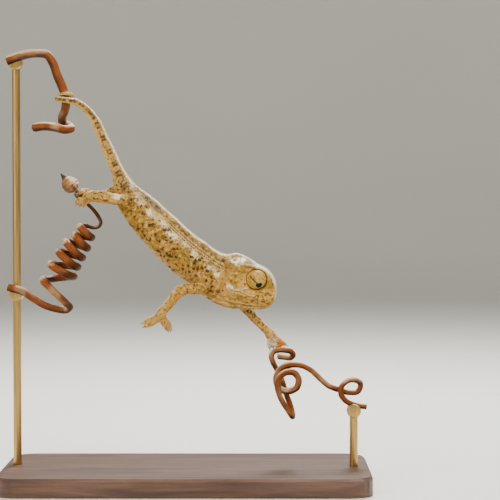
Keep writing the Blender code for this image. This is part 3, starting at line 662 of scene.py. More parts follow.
def foot_forms():
    """Rows of x, y, z, radius of every palm, digit and web."""
    return [WEB] + [form for limb, palm, radius, digits in FEET.values()
                    for form in (palm_rows(limb, palm, radius), *digits)]


def claw_rows(digit):
    """Rows of x, y, z, radius of the claw on a digit: it carries on the digit's own curve."""
    end = along(digit, 12)[:, :3]
    ahead = unit(end[-1] - end[-2])
    hook = end[-1] - 2 * end[-4] + end[-7]
    root = end[-1] + ahead * GAP * 0.8
    middle = root + ahead * CLAW_LENGTH * 0.5
    tip = root + ahead * CLAW_LENGTH * 0.95 + hook * 0.5
    return np.array([(*(root - ahead * 0.3), CLAW_RADIUS), (*middle, CLAW_RADIUS * 0.75),
                     (*tip, CLAW_TIP)])


def ball(middle, way, angle, turn, radius=1.0):
    """Points of a sphere: angle from the way it faces, and turn about that way."""
    cross = unit(np.cross(way, [0.0, 0.0, 1.0]))
    over = np.cross(way, cross)
    return middle + radius * (np.cos(angle)[..., None] * way + np.sin(angle)[..., None] * (
        np.cos(turn)[..., None] * cross + np.sin(turn)[..., None] * over))


def gaze_of(side):
    """The way an eye looks; side is -1 for the right eye and 1 for the left."""
    forward, out, up = GAZE
    return unit(forward * HEAD_FORWARD + side * out * HEAD_SIDE + up * HEAD_UP)


def turret_spots(side, angle, turn, grow=0.0):
    """Points on an eye turret: a ball on the head's axes, stretched to its radius and depth."""
    size = np.array([EYE_RADIUS, EYE_DEPTH, EYE_RADIUS]) + grow
    return head_point(EYE_ALONG, side * EYE_OUT, EYE_UP) + (
        (ball(0.0, gaze_of(side), angle, turn) @ HEAD_AXES.T) * size) @ HEAD_AXES


def turret_rings(side, angles, around, grow=0.0):
    """Rings of an eye turret at angles from its gaze."""
    return turret_spots(side, *np.meshgrid(angles, circle(around), indexing="ij"), grow)


def aperture(side):
    """The place on an eye's turret that it looks out of."""
    return turret_spots(side, np.zeros(1), np.zeros(1))[0]


# ---------------------------------------------------------------- where a point of the animal is

# The way each limb's lit edge faces, where a painted highlight is laid on
LIT_EDGES = {"right_arm": unit((-0.6, 0.0, 0.8)), "left_arm": unit((0.75, 0.1, 0.7)),
             "right_leg": unit((0.3, 0.0, 0.95)), "left_leg": unit((-0.2, 0.2, 0.95))}


class Whereabouts:
    """Coordinates of points on the animal: head axes, place and angle on the body, and limbs."""

    def __init__(self, points, normals):
        self.points = points
        self.forward, self.out, self.up = ((points - HEAD_ORIGIN) @ HEAD_AXES.T).T
        rows, _ = nearest_row(points, SPINE[:, :3])
        self.place = SPINE_PLACE[rows]
        rel = points - SPINE[rows, :3]
        self.turned = np.abs(np.arctan2((rel * SPINE_SIDES[rows]).sum(1),
                                        (rel * SPINE_UPS[rows]).sum(1)))
        limb, digit = np.full((2, len(points)), 9.0)
        self.limb_share, self.lit = np.zeros((2, len(points)))
        for name, rows_of_limb in LIMBS.items():
            path = along(rows_of_limb, 90)
            row, reach = nearest_row(points, path[:, :3])
            ratio = reach / path[row, 3]
            near = ratio < limb
            limb[near] = ratio[near]
            self.limb_share[near] = row[near] / 89
            self.lit[near] = normals[near] @ LIT_EDGES[name]
        for form in foot_forms():
            path = along(form, 20)
            row, reach = nearest_row(points, path[:, :3])
            digit = np.minimum(digit, reach / path[row, 3])
        self.on_hand = rise(HAND_REACH - digit, 0.0, 0.2)
        outside_body = rise(self.limb_share, 0.12, 0.3)
        self.on_limb = np.maximum(rise(LIMB_REACH - limb, 0.0, 0.2) * outside_body, self.on_hand)
        near_head = (self.forward > -3.0) & (self.up > -8.0) & (self.forward < 16.0)
        self.on_head = (near_head * rise(self.forward, -1.7, -0.4)
                        * rise(4.5 - self.place, 0, 1.5) * (1 - self.on_limb))
        self.on_body = (1 - self.on_head) * (1 - self.on_limb)
        self.from_eye = np.hypot(self.forward - EYE_ALONG, self.up - EYE_UP)
        self.beside = np.abs(self.out)

    def line(self, knots, width, up=0.0):
        """1 on a line of the head's side, moved up by so much, fading over its width."""
        return near_line(self.forward, self.up, np.array(knots) + (0, up), width)

    def size_of_head(self, column):
        """One size of the head's cross-section beside each point."""
        return np.interp(self.forward, HEAD_SIZES[:, 0], HEAD_SIZES[:, column])


# Lines on the head: places forward and up
MOUTH_LINE = ((3.3, -0.95), (5.0, -0.55), (8.0, -0.75), (9.7, -0.6), (12.0, -0.9), (14.6, -0.8))
CHEEK_FOLD = ((2.1, -0.4), (3.9, -0.75), (5.2, -0.3), (6.8, 1.0))
SNOUT_FOLD = ((10.4, 0.2), (10.8, -1.7), (11.6, -2.35), (13.0, -1.6))
SNOUT_MARK = ((9.5, -0.45), (9.95, 0.4))
NAPE_FOLD = ((-1.4, 5.1), (-0.2, 3.4), (0.15, 1.5), (-0.1, -0.6), (0.1, -2.4), (-0.3, -4.2),
             (-1.4, -5.3))
BROW_FOLD = ((4.2, 6.15), (6.7, 6.75))
CASQUE_LINE = ((0.2, 4.9), (-0.4, 6.6), (0.5, 7.85), (2.6, 8.15), (6.1, 7.45))
RUSTY_BAND = ((-0.4, 4.1), (2.4, 4.5), (4.8, 4.9))
PUPIL_STREAK = ((9.5, 3.2), (8.1, 3.8), (6.5, 4.5))
NOSTRIL = (12.5, 3.4)
PUPIL, PUPIL_RADIUS = (9.4, 3.05), 0.66
EYE_RING = 2.74                 # radius of the fold round an eye turret
# Folds and lips of the head's sides: line, how far up it is moved, height in mm, width
FACE_LINES = ((MOUTH_LINE, 0, -0.16, 0.16), (MOUTH_LINE, 0.36, 0.12, 0.2),
              (MOUTH_LINE, -0.36, 0.09, 0.2), (CHEEK_FOLD, 0, -0.12, 0.14),
              (SNOUT_FOLD, 0, -0.15, 0.14), (BROW_FOLD, 0, -0.14, 0.18))


def relief(where):
    """Height in mm of the head's crests, folds and lids and the body's ridges over the tubes."""
    points, head, forward, up, beside = (where.points, where.on_head, where.forward, where.up,
                                         where.beside)
    from_crest, above_crest = beside - where.size_of_head(2), up - where.size_of_head(3)
    reach = head * rise(forward, -0.6, 0.6) * rise(13.6 - forward, 0, 1.2)
    height = 0.30 * reach * bump(np.hypot(from_crest, above_crest), 0, 0.42)
    height -= 0.13 * reach * bump(np.hypot(from_crest, above_crest + 0.95), 0, 0.5)
    height += 0.16 * head * bump(where.out, 0, 0.35) * (up > 5.5) * rise(8 - forward, 0, 3)
    height -= 0.10 * head * bump(beside, 1.15, 0.5) * (up > 6.3)
    height -= 0.16 * head * where.line(NAPE_FOLD, 0.4)
    side_face = head * (beside > 1.2)
    for line, lift, tall, width in FACE_LINES:
        height += tall * side_face * where.line(line, width, lift)
    nostril = np.hypot(forward - NOSTRIL[0], up - NOSTRIL[1])
    height += side_face * (0.14 * bump(nostril, 0.45, 0.2) - 0.42 * bump(nostril, 0, 0.24))
    on_side = side_face * (beside > EYE_OUT - 0.6)
    height += on_side * (0.12 * bump(where.from_eye, EYE_RING + 0.45, 0.28)
                         - 0.40 * bump(where.from_eye, EYE_RING, 0.15))
    below = rise(-2.0 - up, 0, 1.0) * rise(forward, 0.5, 2.0)
    height += 0.045 * head * below * np.cos(up * math.tau / 0.62)
    height += 0.10 * head * (noise(points, 0.9, 3) - 0.5)

    body, turned = where.on_body, where.turned
    trunk = rise(TAIL_PLACE - where.place, 0, 8)
    height += body * (0.08 + 0.14 * trunk) * bump(turned, 0, 0.12)
    height -= body * 0.07 * trunk * (bump(turned, 0.34, 0.05) + bump(turned, 0.52, 0.05))
    height += body * trunk * 0.24 * (noise(points, 2.4, 5) - 0.5)
    height += body * trunk * 0.05 * np.cos(where.place * math.tau / 2.1) * bump(turned, 1.3, 0.7)
    height += where.on_limb * 0.10 * (noise(points, 1.1, 7) - 0.5)
    for side in (-1, 1):
        reach = np.linalg.norm(points - aperture(side), axis=1)
        height += 0.13 * bump(reach, 0.8, 0.18) - 0.8 * rise(EYEBALL_RADIUS - reach, 0, 0.2)
    return height


TAN, OCHRE, OLIVE, CREAM, PALE = "#B9933C", "#A27614", "#8A701C", "#E0B868", "#FFF8EC"
BROWN, UMBER, RUST, ROSE, ORANGE = "#3A2206", "#5E3C0A", "#96561F", "#CDA070", "#C87C16"
GREY = "#908568"

# Pale patches of a flank: place from the nape, angle from the spine, half length, half height
# and strength
FLANK_PATCHES = (
    (25.4, 1.0, 3.4, 1.5, 1.0), (30.0, 1.1, 1.7, 1.2, 0.7), (17.4, 0.98, 2.6, 1.6, 0.9),
    (9.5, 1.05, 1.6, 1.5, 0.95), (4.1, 1.16, 0.95, 1.3, 0.9), (1.2, 1.2, 0.95, 1.3, 0.9),
    (21.2, 0.82, 3.0, 1.3, 0.45), (13.2, 0.9, 3.0, 1.3, 0.4), (34.0, 0.6, 2.8, 1.2, 0.5))
FLANK_RADIUS = 4.6              # turns an angle on the flank into mm
TAIL_MARKS = (36.2, 39.8, 42.9, 46.3, 50.2, 54.0, 57.0, 59.0, 61.1, 64.0, 66.6, 69.0)
# Patches at a place in space: x, y, z, radius, colour and strength
SPACE_PATCHES = (((23.1, 2.8, 38.2), 1.9, "#CDC1A6", 0.9),          # pad of the left hand
                 # The web's orange is a painted glow of light through the thin skin
                 ((26.1, 2.8, 37.7), 1.5, "#C8720A", 0.95),         # web of the left hand
                 # The thigh's pale patch is a painted highlight
                 ((-18.2, -5.6, 78.5), 1.5, "#FBEACC", 0.8),        # right thigh
                 ((-1.5, -7.2, 51.6), 1.5, ORANGE, 0.4))            # right elbow
# Brown blotches of the cheek and snout: places forward and up, radius
BLOTCHES = (
    (2.0, 1.5, 0.36), (3.4, 1.3, 0.4), (4.6, 2.7, 0.34), (5.7, 2.2, 0.26), (9.5, -1.5, 0.55),
    (9.1, -3.1, 0.35), (10.3, 0.3, 0.4), (12.2, 1.8, 0.4), (13.4, 1.5, 0.38), (-0.1, -2.7, 0.7),
    (0.9, -1.9, 0.4), (11.6, 0.4, 0.3), (7.4, -1.2, 0.3), (2.8, 3.0, 0.3))


def markings(where):
    """Colour of the skin at each point: the layers of trunk, tail, limbs and head in turn."""
    points, place, turned = where.points, where.place, where.turned
    wide, fine, middle = (noise(points, size, 21) for size in (2.6, 0.8, 1.3))
    body = where.on_body
    trunk = body * rise(TAIL_PLACE - place, -2, 3)
    tail = body * rise(place, TAIL_PLACE - 4, TAIL_PLACE)
    front = trunk * rise(24 - place, 0, 5)
    grit = noise(points, 0.5, 25) - 0.5
    patch = np.max([strength * (1 - np.hypot((place - at) / long,
                                             (turned - angle) * FLANK_RADIUS / tall))
                    for at, angle, long, tall, strength in FLANK_PATCHES], 0).clip(-1)
    patch += 0.8 * (fine - 0.5) + 0.6 * (middle - 0.5) + 0.5 * grit
    size = 0.31 + 0.22 * noise(points, 2.4, 27)
    nearest = speckle(points, 1.25, 31) + 0.2 * (noise(points, 0.5, 26) - 0.5)
    cells = speckle(points, 1.0, 40)
    clear = trunk * rise(turned, 0.72, 0.9) * (1 - 0.5 * rise(patch, 0.1, 0.5))
    broken = rise(noise(points, 1.0, 29), 0.2, 0.45)
    colour = layered(
        TAN, (OLIVE, 0.8 * rise(wide, 0.45, 0.65)), (OCHRE, 0.6 * rise(middle, 0.5, 0.7)),
        ("#DDB76C", 0.6 * rise(0.48 - cells, 0, 0.2)),
        (UMBER, body * 0.5 * rise(cells - 0.5, 0, 0.12)),
        (ROSE, front * 0.6 * rise(turned, 1.75, 2.1) * rise(noise(points, 1.9, 24), 0.4, 0.65)),
        (OCHRE, trunk * 0.5 * bump(turned, 2.55, 0.3)),
        (CREAM, body * 0.6 * rise(turned, 2.8, 3.0)),
        ("#DEC88E", trunk * 0.7 * bump(turned, 0.9, 0.34) * rise(middle, 0.2, 0.5)),
        (GREY, trunk * 0.5 * bump(turned, 0.95, 0.25) * rise(wide, 0.5, 0.65)),
        (GREY, trunk * 0.75 * bump(turned, 0.45, 0.25) * rise(place, 22, 27)),
        (OCHRE, clear * 0.7 * rise(size + 0.25 - nearest, -0.1, 0.15)),
        ("#E6D0A0", trunk * 0.5 * rise(patch, -0.25, 0.2)),
        ("#FFEBC6", trunk * 0.8 * rise(patch, 0.12, 0.65)),
        (BROWN, clear * 0.95 * rise(size - nearest, -0.05, 0.06)),
        (UMBER, body * rise(turned, 0.7, 0.9) * 0.85 * dots(points, 0.8, 0.25, 32)),
        (UMBER, trunk * 0.5 * bump(turned, 0.34, 0.14) * rise(fine, 0.3, 0.6)),
        (BROWN, trunk * 0.85 * bump(turned, 0.35, 0.12) * dots(points, 0.95, 0.42, 34)),
        (BROWN, front * 0.95 * broken * (bump(turned, 0.54, 0.04) + bump(turned, 0.7, 0.035))),
        (CREAM, front * 0.6 * (bump(turned, 0.46, 0.03) + bump(turned, 0.62, 0.03))),
        # Pale along the top of the back: a painted rim highlight
        ("#F6EAD0", body * rise(0.16 - turned, 0, 0.08) * (0.6 + 0.4 * broken)))

    from_mark = np.abs(place[:, None] - TAIL_MARKS).min(1) + 0.7 * (middle - 0.5)
    upper = tail * rise(turned, 0.75, 0.9) * rise(1.95 - turned, 0, 0.2)
    colour = layered(
        colour, (GREY, tail * 0.5 * bump(turned, 1.1, 0.35) * rise(middle, 0.3, 0.6)),
        (CREAM, tail * (0.35 + 0.4 * rise(turned, 1.8, 2.2))),
        (UMBER, upper * 0.45 * rise(1.0 - from_mark, 0, 0.3)),
        (BROWN, upper * 0.95 * bump(from_mark, 0.5, 0.3) * (0.4 + 0.6 * rise(fine, 0.25, 0.45))),
        (UMBER, tail * 0.6 * dots(points, 0.72, 0.24, 35)),
        (BROWN, body * 0.8 * bump(place, 36.5, 4.5) * dots(points, 0.8, 0.32, 33)),
        # Pale along the top of the tail: a painted highlight
        ("#F2E4C8", tail * 0.9 * rise(0.52 - turned + 0.3 * (fine - 0.5), 0, 0.15)))

    limb, hand, lit = where.on_limb, where.on_hand, where.lit
    colour = layered(
        colour, ("#C49C46", limb * 0.6), (CREAM, limb * 0.6 * rise(0.45 - cells, 0, 0.2)),
        # Orange on the side turned from the lit edge: a painted warm glow
        (ORANGE, limb * 0.6 * rise(-lit, 0.3, 0.8)), (UMBER, limb * 0.3 * net(points, 0.9, 39)),
        (BROWN, limb * (1 - 0.3 * hand) * 0.85 * dots(points, 1.05, 0.34, 36)),
        (UMBER, limb * 0.8 * dots(points, 0.7, 0.2, 37)), ("#C8975A", hand * 0.25),
        (UMBER, hand * 0.8 * dots(points, 0.8, 0.24, 38)),
        # Pale where the limb faces its lit edge: a painted highlight
        ("#E6D0A4", limb * 0.7 * rise(lit + 0.5 * (fine - 0.5), 0.62, 0.9)),
        *((tint, limb * strength * rise(1.0 - np.linalg.norm(points - centre, axis=1) / radius
                                        - 1.1 * (fine - 0.5), 0.0, 0.35))
          for centre, radius, tint, strength in SPACE_PATCHES))
    return layered(colour, (head_markings(where, wide, fine), where.on_head))


def head_markings(where, wide, fine):
    """Colour of the head: the side of the face, the casque over its crest, then the eye turret."""
    points, forward, up, line = where.points, where.forward, where.up, where.line
    crest_up = where.size_of_head(3)
    level = np.clip(up / where.size_of_head(8), 0, 1.1)
    streaks = np.cos(level * math.tau * 4.5 + 3.0 * noise(points, 1.6, 41))
    throat = rise(level, 0.3, 0.55)
    low = rise(crest_up - 1.0 - up, 0, 0.8)
    broken = rise(noise(points, 0.9, 47), 0.3, 0.6)
    blotch = np.max([radius - np.hypot(forward - ahead, up - above)
                     for ahead, above, radius in BLOTCHES], 0)
    blotch += 0.5 * (noise(points, 0.7, 51) - 0.5)
    colour = layered(
        "#C89A42", ("#A58424", rise(wide, 0.4, 0.65)),
        (CREAM, 0.7 * rise(0.5 - speckle(points, 1.1, 40), 0, 0.25)),
        ("#E2BE78", 0.7 * throat * rise(streaks, 0.1, 0.7)),
        ("#8C5A1A", 0.45 * throat * rise(-streaks, 0.3, 0.9) * rise(forward, -1, 1)),
        (UMBER, 0.35 * low * net(points, 1.1, 52)),
        (UMBER, 0.7 * low * dots(points, 1.2, 0.28, 42)),
        (RUST, 0.35 * bump(forward, 0.3, 0.9) * rise(fine, 0.3, 0.6)),
        (RUST, 0.7 * line(RUSTY_BAND, 0.5) * rise(fine, 0.2, 0.5)),
        (BROWN, 0.7 * line(RUSTY_BAND, 0.6) * dots(points, 0.7, 0.25, 48)),
        (RUST, 0.85 * line(BROW_FOLD, 0.26)),
        ("#84660A", 0.8 * bump(forward, 6.1, 1.6) * bump(up, -1.6, 0.5)),
        ("#6A3E10", 0.85 * rise(blotch, 0.0, 0.12)),
        ("#EBCDBC", rise(1.0 - np.hypot((forward - 2.5) / 1.3, (up + 0.25) / 0.75), 0, 0.3)),
        ("#EFDCC8", 0.95 * line(CHEEK_FOLD, 0.2, 0.12)),
        ("#DDB880", 0.7 * line(MOUTH_LINE, 0.2, 0.4) * rise(10.6 - forward, 0, 1)),
        ("#7C4A26", 0.75 * line(MOUTH_LINE, 0.13) * (0.35 + 0.65 * broken)),
        ("#7A4A30", 0.85 * line(CHEEK_FOLD, 0.13, -0.22)),
        (BROWN, 0.75 * line(SNOUT_FOLD, 0.16) * (0.4 + 0.6 * broken)),
        (BROWN, 0.8 * line(SNOUT_MARK, 0.16)),
        ("#6E4424", 0.6 * line(NAPE_FOLD, 0.3) * (0.25 + 0.75 * broken)))

    edge = up - crest_up + 0.35 + 0.9 * (fine - 0.5) * rise(6 - forward, 0, 1)
    above = rise(edge, 0, 0.4) * rise(forward, -1.2, -0.4)
    strip = rise(forward, 5.5, 7)
    # The casque's pale patches and cream strip are its own pattern and also a painted highlight of
    # its top
    casque = layered(
        "#CCB47A", (PALE, rise(noise(points, 1.2, 43), 0.5, 0.62)),
        ("#8E8458", 0.8 * (1 - strip) * rise(noise(points, 1.5, 49), 0.5, 0.62)),
        ("#5A4426", 0.75 * (1 - strip) * dots(points, 1.1, 0.25, 44)),
        ("#5A4426", 0.5 * (1 - strip) * net(points, 1.3, 53)), ("#EFE2CC", 0.85 * strip),
        ("#94868E", 0.7 * strip * bump(where.beside, 0.95, 0.28)),
        (TAN, 0.6 * rise(1.5 - where.beside, 0, 0.5) * rise(noise(points, 1.3, 54), 0.4, 0.6)))

    on_side = rise(where.beside, EYE_OUT - 0.9, EYE_OUT - 0.5)
    ahead, over = forward - EYE_ALONG, up - EYE_UP
    rays = np.cos((ahead * 0.42 + over * 0.91) * math.tau / 0.66 + 3.5 * noise(points, 1.5, 50))
    lid = layered(
        "#BA9236", ("#D8B664", 0.45 * rise(rays, 0.0, 0.8)),
        ("#7A5C18", 0.4 * rise(-rays, 0.5, 0.9)), (CREAM, 0.4 * rise(fine, 0.5, 0.7)),
        (UMBER, 0.6 * dots(points, 0.8, 0.2, 46)))
    lower = rise(ahead * 0.6 - over * 0.8, 0.0, 2.4)
    from_pupil = np.hypot(forward - PUPIL[0], up - PUPIL[1])
    return layered(
        colour, (casque, above), ("#4E3A1C", 0.8 * line(CASQUE_LINE, 0.15) * (0.4 + 0.6 * broken)),
        # Pale along the top of the head's midline: a painted highlight
        (PALE, 0.9 * rise(0.5 - where.beside, 0, 0.15) * rise(up, 0.5, 2)),
        (UMBER, 0.85 * dots(points, 1.0, 0.3, 45) * rise(forward, 9.8, 10.8) * (1 - above)),
        (lid, on_side * rise(EYE_RING - 0.05 - where.from_eye, 0, 0.15)),
        ("#3A2208", on_side * 0.95 * line(PUPIL_STREAK, 0.25)),
        ("#1E1004", on_side * rise(1 - from_pupil / PUPIL_RADIUS, 0, 0.1)),
        # Dark ring in the fold round the turret, wider at its front and lower side: painted shade
        # in the crease
        ("#3A2008", on_side * (0.8 + 0.15 * lower)
         * bump(where.from_eye, EYE_RING, 0.11 + 0.15 * lower)))


# ---------------------------------------------------------------- skin

def skin_shells(depth):
    """Closed tubes under the skin, each drawn in by the coat's depth: one for every form."""
    places = np.r_[np.linspace(HEAD_BACK, SNOUT_START, 60),
                   np.linspace(SNOUT_START + 0.2, SNOUT_TIP - depth, 16)]
    shells = [head_rings(places, 72, -depth), body_rings(48, -depth)[::3]]
    for side in (-1, 1):
        shells.append(turret_rings(side, np.linspace(0.05, math.pi - 0.05, 28), 40, -depth))
    for rows in LIMBS.values():
        path = along(rows, 80)
        shells.append(tube_rings(path[:, :3], path[:, 3] - depth,
                                 path[:, 3] * LIMB_FLATNESS - depth, 28))
    for limb, palm, radius, digits in FEET.values():
        shells.append(round_rings(palm_rows(limb, palm, radius), 24, 24, grow=-depth * 0.6))
        shells += [round_rings(rows, 24, 18, grow=-depth * 0.3) for rows in digits]
    return shells + [round_rings(WEB, 24, 18, grow=-depth * 0.3)]


def build_skin(depth, grain):
    """Melt the tubes into one closed skin, then raise its crests and folds along its normals."""
    mesh = evaluated(shells_mesh(*skin_shells(depth)),
                     ("REMESH", {"mode": "VOXEL", "voxel_size": grain * MM}),
                     ("SMOOTH", {"factor": 0.5, "iterations": 5}))
    points, normals = rows_of(mesh.vertices, "co") / MM, rows_of(mesh.vertex_normals, "vector")
    where = Whereabouts(points, normals)
    raised = points + normals * relief(where)[:, None]
    mesh.vertices.foreach_set("co", (raised * MM).astype(np.float32).ravel())
    mesh.update()
    paint(mesh, markings(where))
    mesh.shade_smooth()
    return mesh


# ---------------------------------------------------------------- scales

def tiled_roots(rings, spacing, seed):
    """Places of scales on a tube of rings, row by row, and their place on its unwrap.

    Rows are 0.87 of a spacing apart, measured along the surface, and each row's scales stand
    evenly by arc length, moved half a step from the last row's, so they pack like cells.
    """
    travel = np.r_[0, np.cumsum(np.linalg.norm(np.diff(rings, axis=0), axis=2).mean(1))]
    steps = np.arange(spacing * 0.4, travel[-1], spacing * 0.87)
    picked = rings[np.searchsorted(travel, steps).clip(0, len(rings) - 1)]
    closed = np.concatenate([picked, picked[:, :1]], 1)
    counts = np.maximum(np.round(np.linalg.norm(np.diff(closed, axis=1), axis=2).cumsum(1)[:, -1]
                                 / spacing), 3).astype(int)
    row = np.repeat(np.arange(len(picked)), counts)
    number = np.arange(len(row)) - np.repeat(np.cumsum(counts) - counts, counts)
    stagger = np.random.default_rng(seed).uniform(-0.16, 0.16, (len(row), 2))
    share = (number + 0.5 * (row % 2) + stagger[:, 0]) / counts[row] % 1.0
    roots = np.empty((len(row), 3))
    for index, line in enumerate(closed):
        mine = row == index
        arc = travelled(line)
        roots[mine] = spots_at(share[mine] * arc[-1], arc, line)
    ahead = unit(np.gradient(picked.mean(1), axis=0) + 1e-9)[row]
    roots += ahead * (stagger[:, 1] * spacing)[:, None]
    return roots, ahead, np.stack([steps[row] / travel[-1], share], 1)


def scale_shape(sides=6):
    """One granule of unit size: a sunk foot ring, a shoulder ring and a rounded top, closed.

    Gives its points, its sets of faces, and the painted shade of each point: darker round the foot
    where granules meet, and a little lighter on the top as a painted highlight.
    """
    angle = circle(sides)
    ring = np.stack([np.cos(angle), np.sin(angle), np.zeros(sides)], 1)
    points = np.vstack([ring + (0, 0, -0.6), ring * 0.74 + (0, 0, 0.62), [[0, 0, 1.0]]])
    low = np.arange(sides)
    after = (low + 1) % sides
    faces = (np.stack([low, after, after + sides, low + sides], 1),
             np.stack([low + sides, after + sides, np.full(sides, 2 * sides)], 1), low[None, ::-1])
    return points, faces, np.r_[np.full(sides, 0.62), np.full(sides, 0.97), 1.06]


def scales_mesh(roots, ups, leans, widths, heights, patches, colours):
    """Joined granules: the shape's x along the lean and z along the skin's normal, at each root.

    Every granule has one small patch of the map, set at its root's place on the unwrap, and one
    colour.
    """
    shape, faces, shade = scale_shape()
    ups = unit(ups)
    firsts = unit(leans - (leans * ups).sum(1, keepdims=True) * ups)
    axes = (firsts * widths[:, None], np.cross(ups, firsts) * widths[:, None],
            ups * heights[:, None])
    points = roots[:, None] + sum(shape[:, axis, None] * way[:, None]
                                  for axis, way in enumerate(axes))
    start = (np.arange(len(roots)) * len(shape))[:, None, None]
    mesh = mesh_from(points.reshape(-1, 3), *((rows + start).reshape(-1, rows.shape[1])
                                              for rows in faces))
    # Each corner gets its granule's colour times the shape's painted shade
    paint(mesh, (colours[:, None] * shade[:, None]).reshape(-1, 3))
    add_map(mesh, "OFBake", 0.01 + 0.98 * patches[:, None] + shape[:, :2] / 2 * PATCH_WIDTH)
    return mesh


def planted(name, slot, roots, leans, patches, spacing, height, keep=None):
    """Set scales at roots, dropped on to the nearest skin; those far from it are hidden ones."""
    skin = bpy.data.objects["skin"]
    tree = BVHTree.FromObject(skin, bpy.context.evaluated_depsgraph_get())
    spots, _, faces, away = zip(*(tree.find_nearest(Vector(root * MM)) for root in roots))
    feet_at = np.array(spots) / MM
    ups = rows_of(skin.data.polygons, "normal")[list(faces)]
    where = Whereabouts(feet_at, ups)
    wanted = np.array(away) / MM < NEAR_SKIN
    if keep:
        wanted &= keep(where)
    chance = np.random.default_rng(len(roots)).uniform(size=(2, len(roots)))
    width = spacing * 0.62 * (0.88 + 0.24 * chance[0]) * np.where(chance[1] > 0.9, 1.25, 1.0)
    tall = height * (0.8 + 0.4 * chance[1])
    colours = markings(where) * (0.93 + 0.14 * chance[0])[:, None]
    parts = (part[wanted] for part in (feet_at, ups, leans, width, tall, patches, colours))
    show(name, scales_mesh(*parts), skin.data.materials[0], slot)


def grown(name, slot, tubes, spacing, height, keep=None):
    """Cover tubes with scales that stand on the skin where the skin is that tube."""
    rows = [tiled_roots(rings, spacing, number + len(name)) for number, rings in enumerate(tubes)]
    patches = [np.stack([unwrap[:, 0], (number + unwrap[:, 1]) / len(tubes)], 1)
               for number, (_, _, unwrap) in enumerate(rows)]
    roots, leans, _ = (np.vstack(part) for part in zip(*rows))
    planted(name, slot, roots, leans, np.vstack(patches), spacing, height, keep)


def crest_row(name, slot, line, spacing, height):
    """A row of granules along a line of points on the skin, taller than the scales by it."""
    length = travelled(line)
    at = np.arange(spacing / 2, length[-1], spacing)
    spots = spots_at(at, length, line)
    patches = np.stack([at / length[-1], np.full(len(at), 0.5)], 1)
    planted(name, slot, spots, np.gradient(spots, axis=0), patches, spacing * 0.95, height)


# ---------------------------------------------------------------- tendrils

# Hooked stem: out from the rod, over a bend, down to the tail and round to a short curl
TAIL_STEM = ((-48.2, 0.0, 114.4), (-44.8, 0.0, 115.6), (-39.6, 0.0, 116.4), (-37.3, 0.0, 116.0),
             (-35.9, 0.0, 114.2), (-34.6, 0.0, 110.7), (-33.0, 0.0, 106.7), (-32.3, 0.0, 104.0),
             (-32.5, 0.2, 101.3), (-33.4, 1.0, 99.2), (-33.1, 2.3, 97.6), (-31.6, 2.3, 96.9),
             (-31.1, 0.7, 96.2), (-32.4, -0.6, 95.9), (-35.0, -1.0, 96.5), (-38.0, -1.0, 96.8),
             (-41.4, -0.8, 96.3))
# Lower tendril: its thin end under the hind feet, and its run to the left rod
HIND_STEM = ((-29.6, 0.0, 79.5), (-28.9, 0.0, 78.8), (-27.8, 0.0, 77.2), (-26.4, 0.0, 75.8),
             (-25.0, 0.0, 74.4), (-23.7, 0.1, 72.6), (-23.0, 0.3, 70.9), (-23.6, 0.9, 69.8),
             (-25.0, 1.6, 69.5), (-26.9, 1.5, 70.0))
HIND_RUN = ((-37.0, -1.2, 53.7), (-34.5, -1.5, 51.3), (-32.5, -1.2, 49.4), (-31.5, 0.0, 48.0),
            (-32.4, 1.0, 47.3), (-35.0, 0.8, 47.5), (-38.0, 0.3, 48.4), (-41.0, 0.0, 50.2),
            (-44.8, 0.0, 52.6), (-48.2, 0.0, 53.4))
# Where the coil's half turns end, x and z, left and right in turn from its thin end down
COIL_LIMITS = np.array(((-28.7, 69.9), (-25.5, 66.9), (-29.9, 67.5), (-26.6, 64.0), (-32.3, 65.7),
                        (-28.0, 61.4), (-34.3, 63.0), (-29.3, 58.9), (-36.5, 59.6), (-30.3, 56.3),
                        (-38.6, 55.3)))
COIL_STEPS = 6                  # points to a half turn
SWELLING = (0.65, 0.88)         # radii where the thin end grows into the coil
# Tendril of the reaching hand: loop by the right rod, spiral, hairpin and top loop
HAND_LOOP = ((48.9, 0.0, 21.0), (45.6, 0.0, 21.5), (43.2, -0.4, 22.7), (41.9, -0.8, 24.6),
             (42.1, -1.0, 26.7), (44.6, -0.7, 28.4), (47.2, 0.2, 27.3), (46.6, 0.9, 25.1),
             (43.9, 1.1, 24.8), (41.0, 0.7, 25.7), (38.9, 0.4, 26.5), (36.3, 0.0, 28.6),
             (33.8, 0.2, 30.9), (31.0, 0.5, 32.2))
HAND_SPIRAL = ((28.0, 0.9, 32.3), (25.5, 1.1, 31.0), (24.4, 1.2, 28.4), (25.2, 0.9, 26.0),
               (27.6, 0.2, 25.2), (30.0, -0.5, 26.4), (30.4, -0.8, 28.7), (29.2, -1.0, 30.3),
               (27.2, -1.1, 30.5), (25.5, -1.1, 29.4), (24.8, -1.1, 27.0))
HAND_HAIRPIN = ((25.2, -1.0, 24.5), (26.3, -0.7, 22.1), (27.5, -0.3, 20.2), (28.6, 0.2, 18.5),
                (28.9, 1.0, 18.2), (28.7, 1.7, 19.6), (28.0, 2.1, 21.9), (27.0, 2.4, 24.6),
                (25.9, 3.0, 28.2), (24.4, 2.9, 31.2))
HAND_HOLD = ((23.4, 2.0, 33.3), (23.1, 1.9, 34.6), (23.6, 2.1, 35.7), (25.0, 2.5, 36.15),
             (26.8, 3.0, 36.1), (28.4, 3.5, 35.7), (29.1, 3.8, 34.8), (28.6, 4.1, 34.1),
             (26.6, 4.1, 34.1), (24.6, 3.9, 34.4))
